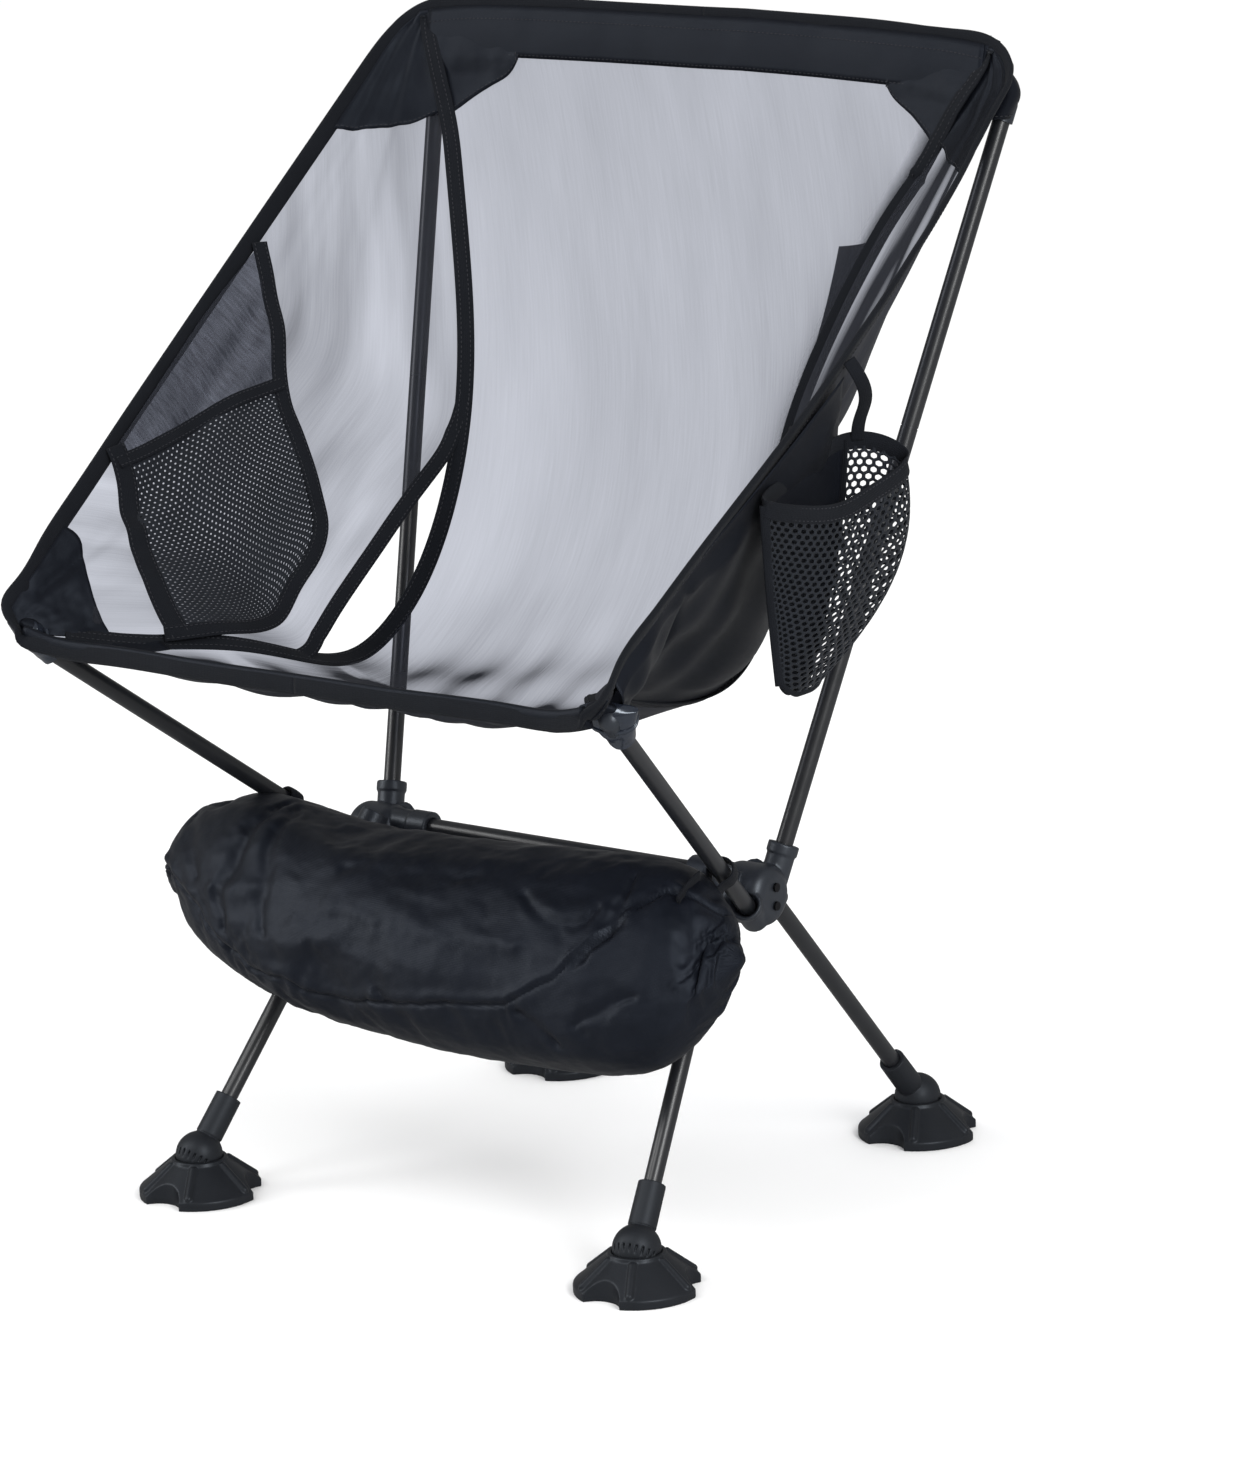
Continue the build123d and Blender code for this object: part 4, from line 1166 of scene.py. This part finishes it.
def bag_grid(rows, columns):
    return np.meshgrid(np.linspace(0, 1, rows), np.linspace(0, 1, columns, endpoint=False), indexing="ij")


def crumple(points, along):
    """Cloth simulation of the slack nylon shell: a little too large for its shape, held at its ends."""
    rows, columns = along.shape
    shell = make_piece("storage_bag_pattern", points, tube_faces(rows, columns), M["bag"])
    pins = shell.vertex_groups.new(name="sewn_ends")
    grip = np.clip(1 - np.minimum(along, 1 - along) / 0.05, 0, 1).ravel() * 0.9 + 0.02
    for i, weight in enumerate(grip):
        pins.add([i], float(weight), "REPLACE")
    cloth = shell.modifiers.new("cloth", "CLOTH")
    for key, value in BAG_CLOTH.items():
        setattr(cloth.settings, key, value)
    cloth.settings.effector_weights.gravity = BAG_GRAVITY
    cloth.collision_settings.use_collision = False
    cloth.collision_settings.use_self_collision = False
    scene = bpy.context.scene
    cloth.point_cache.frame_start, cloth.point_cache.frame_end = 1, BAG_FRAMES
    for step in range(1, BAG_FRAMES + 1):
        scene.frame_set(step)
    settled = shell.evaluated_get(bpy.context.evaluated_depsgraph_get())
    spots = np.empty(len(shell.data.vertices) * 3)
    settled.data.vertices.foreach_get("co", spots)
    bpy.data.objects.remove(shell)
    scene.frame_set(1)
    return (spots.reshape(rows, columns, 3) / MM) - (0, CROSSBAR_Y, 0)


def refined(values, factor, wrap):
    """Catmull-Rom points between the rows of a grid of values; wrap joins its last row to its first."""
    count = len(values)
    steps = np.arange(count * factor) / factor if wrap else np.linspace(0, count - 1, (count - 1) * factor + 1)
    i = np.floor(steps).astype(int)
    t = (steps - i)[:, None, None]
    pick = (lambda k: values[(i + k) % count]) if wrap else (lambda k: values[np.clip(i + k, 0, count - 1)])
    a, b, c, d = pick(-1), pick(0), pick(1), pick(2)
    return 0.5 * (2 * b + (c - a) * t + (2 * a - 5 * b + 4 * c - d) * t * t + (3 * b - a - 3 * c + d) * t ** 3)


def fold_relief(x, height):
    """Height of the bag's folds at places on its front."""
    relief = np.zeros_like(x)
    for depth, half_width, line in BAG_FOLDS:
        path = Run([(a, b, 0) for a, b in line])(np.linspace(0, 1, 24))
        gap = np.full(x.shape, 1e9)
        for k, spot in enumerate(path):
            fade = 1 + 1.2 * (2 * k / 23 - 1) ** 2
            gap = np.minimum(gap, np.hypot(x - spot[0], height - spot[1]) * fade)
        relief = relief + depth * np.exp(-(gap / half_width) ** 2)
    return relief


def build_bag():
    """Stuffed nylon bag: the settled shell with a seam, its puckers, folds and fine wrinkles laid on."""
    along, turn = bag_grid(BAG_ROWS, BAG_COLUMNS)
    rest = bag_point(along, turn, -1.5)
    moved = np.zeros_like(rest)
    moved = crumple(rest, along) - rest
    reach = np.linalg.norm(moved, axis=2, keepdims=True)
    moved = moved * np.minimum(1, BAG_MOVE_LIMIT / np.maximum(reach, 1e-6))
    moved = moved * (1 - BAG_EDGE_CALM * np.abs(np.cos(turn * 2 * math.pi)) ** 1.5)[..., None]
    points = refined(rest + moved, BAG_REFINE, False)
    points = refined(points.transpose(1, 0, 2), BAG_REFINE, True).transpose(1, 0, 2)
    rows, columns = points.shape[:2]
    along, turn = bag_grid(rows, columns)
    outward = bag_point(along, turn, 1.0) - bag_point(along, turn)
    x, height = points[..., 0], (points - BAG_CENTRE) @ BAG_UP
    across = np.stack([x, 0 * x, 0 * x], axis=-1)
    seam = np.interp(x, *np.array(BAG_SEAM, float).T) + ripple(across, 26, 2.2, seed=51)
    facing = np.clip((outward @ BAG_OUT) * 2, 0, 1)
    groove = -2.2 * np.exp(-((height - seam) / 1.0) ** 2) * facing
    lip = 1.3 * np.exp(-((height - seam - 3.2) / 3.0) ** 2) * facing
    sway = ripple(across, 34, 5.0, seed=63)
    pucker = 0.8 * np.sin(x * 0.42 + height * 0.3 + sway) * np.exp(-(np.abs(height - seam) / 8)) * facing
    pucker = pucker * np.clip(ripple(points, 40, 2.4, seed=61) + 0.2, 0, 1)
    warp = ripple(points, 24, 5.0, seed=71)
    folds = fold_relief(x + warp, height - warp) * facing
    broad = ripple(points, 52, 2.6, (0.8, 1, 1.3), seed=81) * facing
    fine = ripple(points, 9, 0.45, (0.7, 1, 1), seed=41)
    points = points + outward * (groove + lip + pucker + folds + broad + fine)[..., None]
    uvs = np.stack([along, turn], axis=2) * BAG_UV_SIZE
    bag = make_piece("storage_bag_shell", points, tube_faces(rows, columns), M["bag"], uvs)
    ride(bag, ["storage_bag"], body="bag")


STRAP_AT = 0.765
STRAP_RING_R = 7.7
STRAP_RING_TURN = 2.55
STRAP_TAIL_DROPS = (4, 12, 20, 28)
# Line of the band sewn down the bag's front, as (height, forward) from the pole's middle
STRAP_BAND = [(-11, 19.0), (-16, 22.5), (-23, 26), (-31, 29)]


def build_bag_strap(side, word):
    """Webbing loop round a front pole with its tail sewn to the bag."""
    centre = FRONT_TIP + (FRONT_BASE - FRONT_TIP) * STRAP_AT
    axis = unit(FRONT_TIP - FRONT_BASE)
    down = unit(np.array([0.0, -10.0, -50.0]))
    away = unit(down - axis * (down @ axis))
    sideways = np.cross(axis, away)
    angles = np.linspace(-STRAP_RING_TURN, STRAP_RING_TURN, 60)
    loop = (np.outer(np.cos(angles), -away) + np.outer(np.sin(angles), sideways)) * STRAP_RING_R
    tails = [[away * (STRAP_RING_R + drop) + sideways * shift for drop in STRAP_TAIL_DROPS]
             for shift in (1.2, -1.2)]
    path = centre + np.array(tails[1][::-1] + list(loop) + tails[0])
    path = Run(path[::3])(np.linspace(0, 1, 120))
    add_tape("bag_strap_webbing_" + word, path, axis, BAG_STRAP_TAPE, side, ["bag_strap_" + word], "bag")
    band = Run([centre + BAG_UP * h + BAG_OUT * d for h, d in STRAP_BAND])(np.linspace(0, 1, 40))
    add_tape("bag_strap_band_" + word, band, axis, BAG_BAND_TAPE, side, body="bag")


# ---------------------------------------------------------------- moulded parts

def remoulded(node, material, voxel, rounds, body="frame"):
    """Replaces a moulded CAD node with a copy whose inside and outside corners are softened."""
    source = frame["nodes"][node]
    piece = bpy.data.objects.new(node + "_moulded", source.data.copy())
    bpy.context.scene.collection.objects.link(piece)
    piece.data.materials.clear()
    piece.data.materials.append(M[material])
    remesh = piece.modifiers.new("even", "REMESH")
    remesh.mode = "VOXEL"
    remesh.voxel_size = voxel * MM
    remesh.use_smooth_shade = True
    soften = piece.modifiers.new("soften", "SMOOTH")
    soften.factor = 0.5
    soften.iterations = rounds
    ride(piece, [node], body)


def build_moulded_parts():
    for _, word in SIDES:
        remoulded("hub_" + word, "hub", 0.7, 5)
        for end in ("front", "rear"):
            remoulded(f"{end}_leg_tip_{word}", "tip", 0.45, 3, f"{end}_leg_{word}")
            remoulded(f"{end}_foot_{word}", "foot", 0.6, 4, f"{end}_foot_{word}")


NODE_MATERIALS = {"pole": "tube", "ferrule": "ferrule", "rivet": "rivet", "hub_plastic": "hub",
                  "shock_cord": "cord", "tip_rubber": "tip", "foot_plastic": "foot"}


def finish_cad_nodes():
    """Gives every CAD node that stays visible its procedural material."""
    slots = {part["node"]: part["material_slot"] for part in frame["record"]["subparts"]}
    for name, node in frame["nodes"].items():
        word = NODE_MATERIALS.get(slots[name])
        if word is None:
            continue
        node.data.materials.clear()
        node.data.materials.append(M[word])


# ---------------------------------------------------------------- stage

CAMERA_AZIMUTH, CAMERA_ELEVATION, CAMERA_ROLL = 37.6, 13.7, -1.9
CAMERA_DISTANCE = 3064.7
CAMERA_TARGET = (151.67, -139.59, 312.57)
CAMERA_LENS, SENSOR_WIDTH = 135.66, 36


def build_camera():
    azimuth, elevation, roll = (math.radians(a) for a in (CAMERA_AZIMUTH, CAMERA_ELEVATION, CAMERA_ROLL))
    back = Vector((math.sin(azimuth) * math.cos(elevation), -math.cos(azimuth) * math.cos(elevation),
                   math.sin(elevation)))
    right = Vector((math.cos(azimuth), math.sin(azimuth), 0))
    up = back.cross(right)
    turned_right = right * math.cos(roll) + up * math.sin(roll)
    turned_up = -right * math.sin(roll) + up * math.cos(roll)
    target = (Vector(CAMERA_TARGET) + Vector((0, CROSSBAR_Y, 0))) * MM
    data = bpy.data.cameras.new("camera")
    data.lens = CAMERA_LENS
    data.sensor_width = SENSOR_WIDTH
    camera = bpy.data.objects.new("camera", data)
    bpy.context.scene.collection.objects.link(camera)
    matrix = camera.matrix_world.copy()
    for row in range(3):
        matrix[row][0], matrix[row][1], matrix[row][2] = turned_right[row], turned_up[row], back[row]
        matrix[row][3] = target[row] + back[row] * CAMERA_DISTANCE * MM
    camera.matrix_world = matrix
    bpy.context.scene.camera = camera


FLOOR_HALF = 14.0
FLOOR_SEEN, FLOOR_REFLECTED = 0.95, 0.25


def build_floor():
    """White floor that is dimmer in reflections, so that cloth facing down stays dark."""
    corners = [(-1, -1), (1, -1), (1, 1), (-1, 1)]
    mesh = bpy.data.meshes.new("floor")
    mesh.from_pydata([(x * FLOOR_HALF, y * FLOOR_HALF, 0) for x, y in corners], [], [(0, 1, 2, 3)])
    tree = new_tree("floor_white")
    glossy = tree.new("LightPath").outputs["Is Glossy Ray"]
    mesh.materials.append(tree.surface({
        "Base Color": tree.tint(glossy, (FLOOR_SEEN,) * 3, (FLOOR_REFLECTED,) * 3),
        "Roughness": 0.9,
    }))
    floor = bpy.data.objects.new("floor", mesh)
    bpy.context.scene.collection.objects.link(floor)


WORLD_DIFFUSE, WORLD_GLOSSY = 1.0, 0.25
SUN_STRENGTH = 0.45
SUN_SPREAD = 22
SUN_TRAVEL = (0.27, 0.96, -1.25)
LIGHT_TARGET = (0, 0, 0.35)
# Softboxes: name, place, width and height, and power
SOFTBOXES = (("left_softbox", (-1.9, -1.6, 1.2), (0.8, 2.0), 24),
             ("right_softbox", (2.4, -1.0, 1.6), (0.8, 1.6), 46))


def build_world():
    """White surroundings that light the cloth evenly and are dimmer in reflections, like a dark studio."""
    tree = Tree(bpy.data.worlds.new("studio"))
    glossy = tree.new("LightPath").outputs["Is Glossy Ray"]
    tree.fill(tree.nodes["Background"], {"Color": (1, 1, 1, 1),
                                         "Strength": tree.ramp(glossy, WORLD_DIFFUSE, WORLD_GLOSSY)})
    bpy.context.scene.world = tree.owner


def add_light(name, data, travel, place=(0, 0, 0)):
    light = bpy.data.objects.new(name, data)
    light.location = place
    light.rotation_euler = Vector(travel).to_track_quat("-Z", "Y").to_euler()
    bpy.context.scene.collection.objects.link(light)


def build_lights():
    sun = bpy.data.lights.new("key_sun", "SUN")
    sun.energy = SUN_STRENGTH
    sun.angle = math.radians(SUN_SPREAD)
    add_light("key_sun", sun, SUN_TRAVEL)
    for name, place, size, power in SOFTBOXES:
        data = bpy.data.lights.new(name, "AREA")
        data.shape = "RECTANGLE"
        data.size, data.size_y = size
        data.energy = power
        add_light(name, data, Vector(LIGHT_TARGET) - Vector(place), place)
    bpy.context.scene.view_settings.view_transform = "Standard"
    bpy.context.scene.view_settings.look = "None"


# ---------------------------------------------------------------- everything in order

build_camera()
build_floor()
build_world()
build_lights()
finish_cad_nodes()
build_moulded_parts()
build_centre_panel()
build_front_facing()
build_rim()
build_top_band()
build_front_hem()
for side, word in SIDES:
    build_side_panel(side, word)
    build_seam_tape(side, word)
    build_vent_tape(side, word)
    build_corner_patches(side, word)
    build_front_centre_patch(side, word)
    build_rear_pocket(side, word)
    build_front_pocket(side, word)
    build_bag_strap(side, word)
build_stash_pocket()
build_cup_pocket()
build_side_lining()
build_seam_facing()
build_bag()
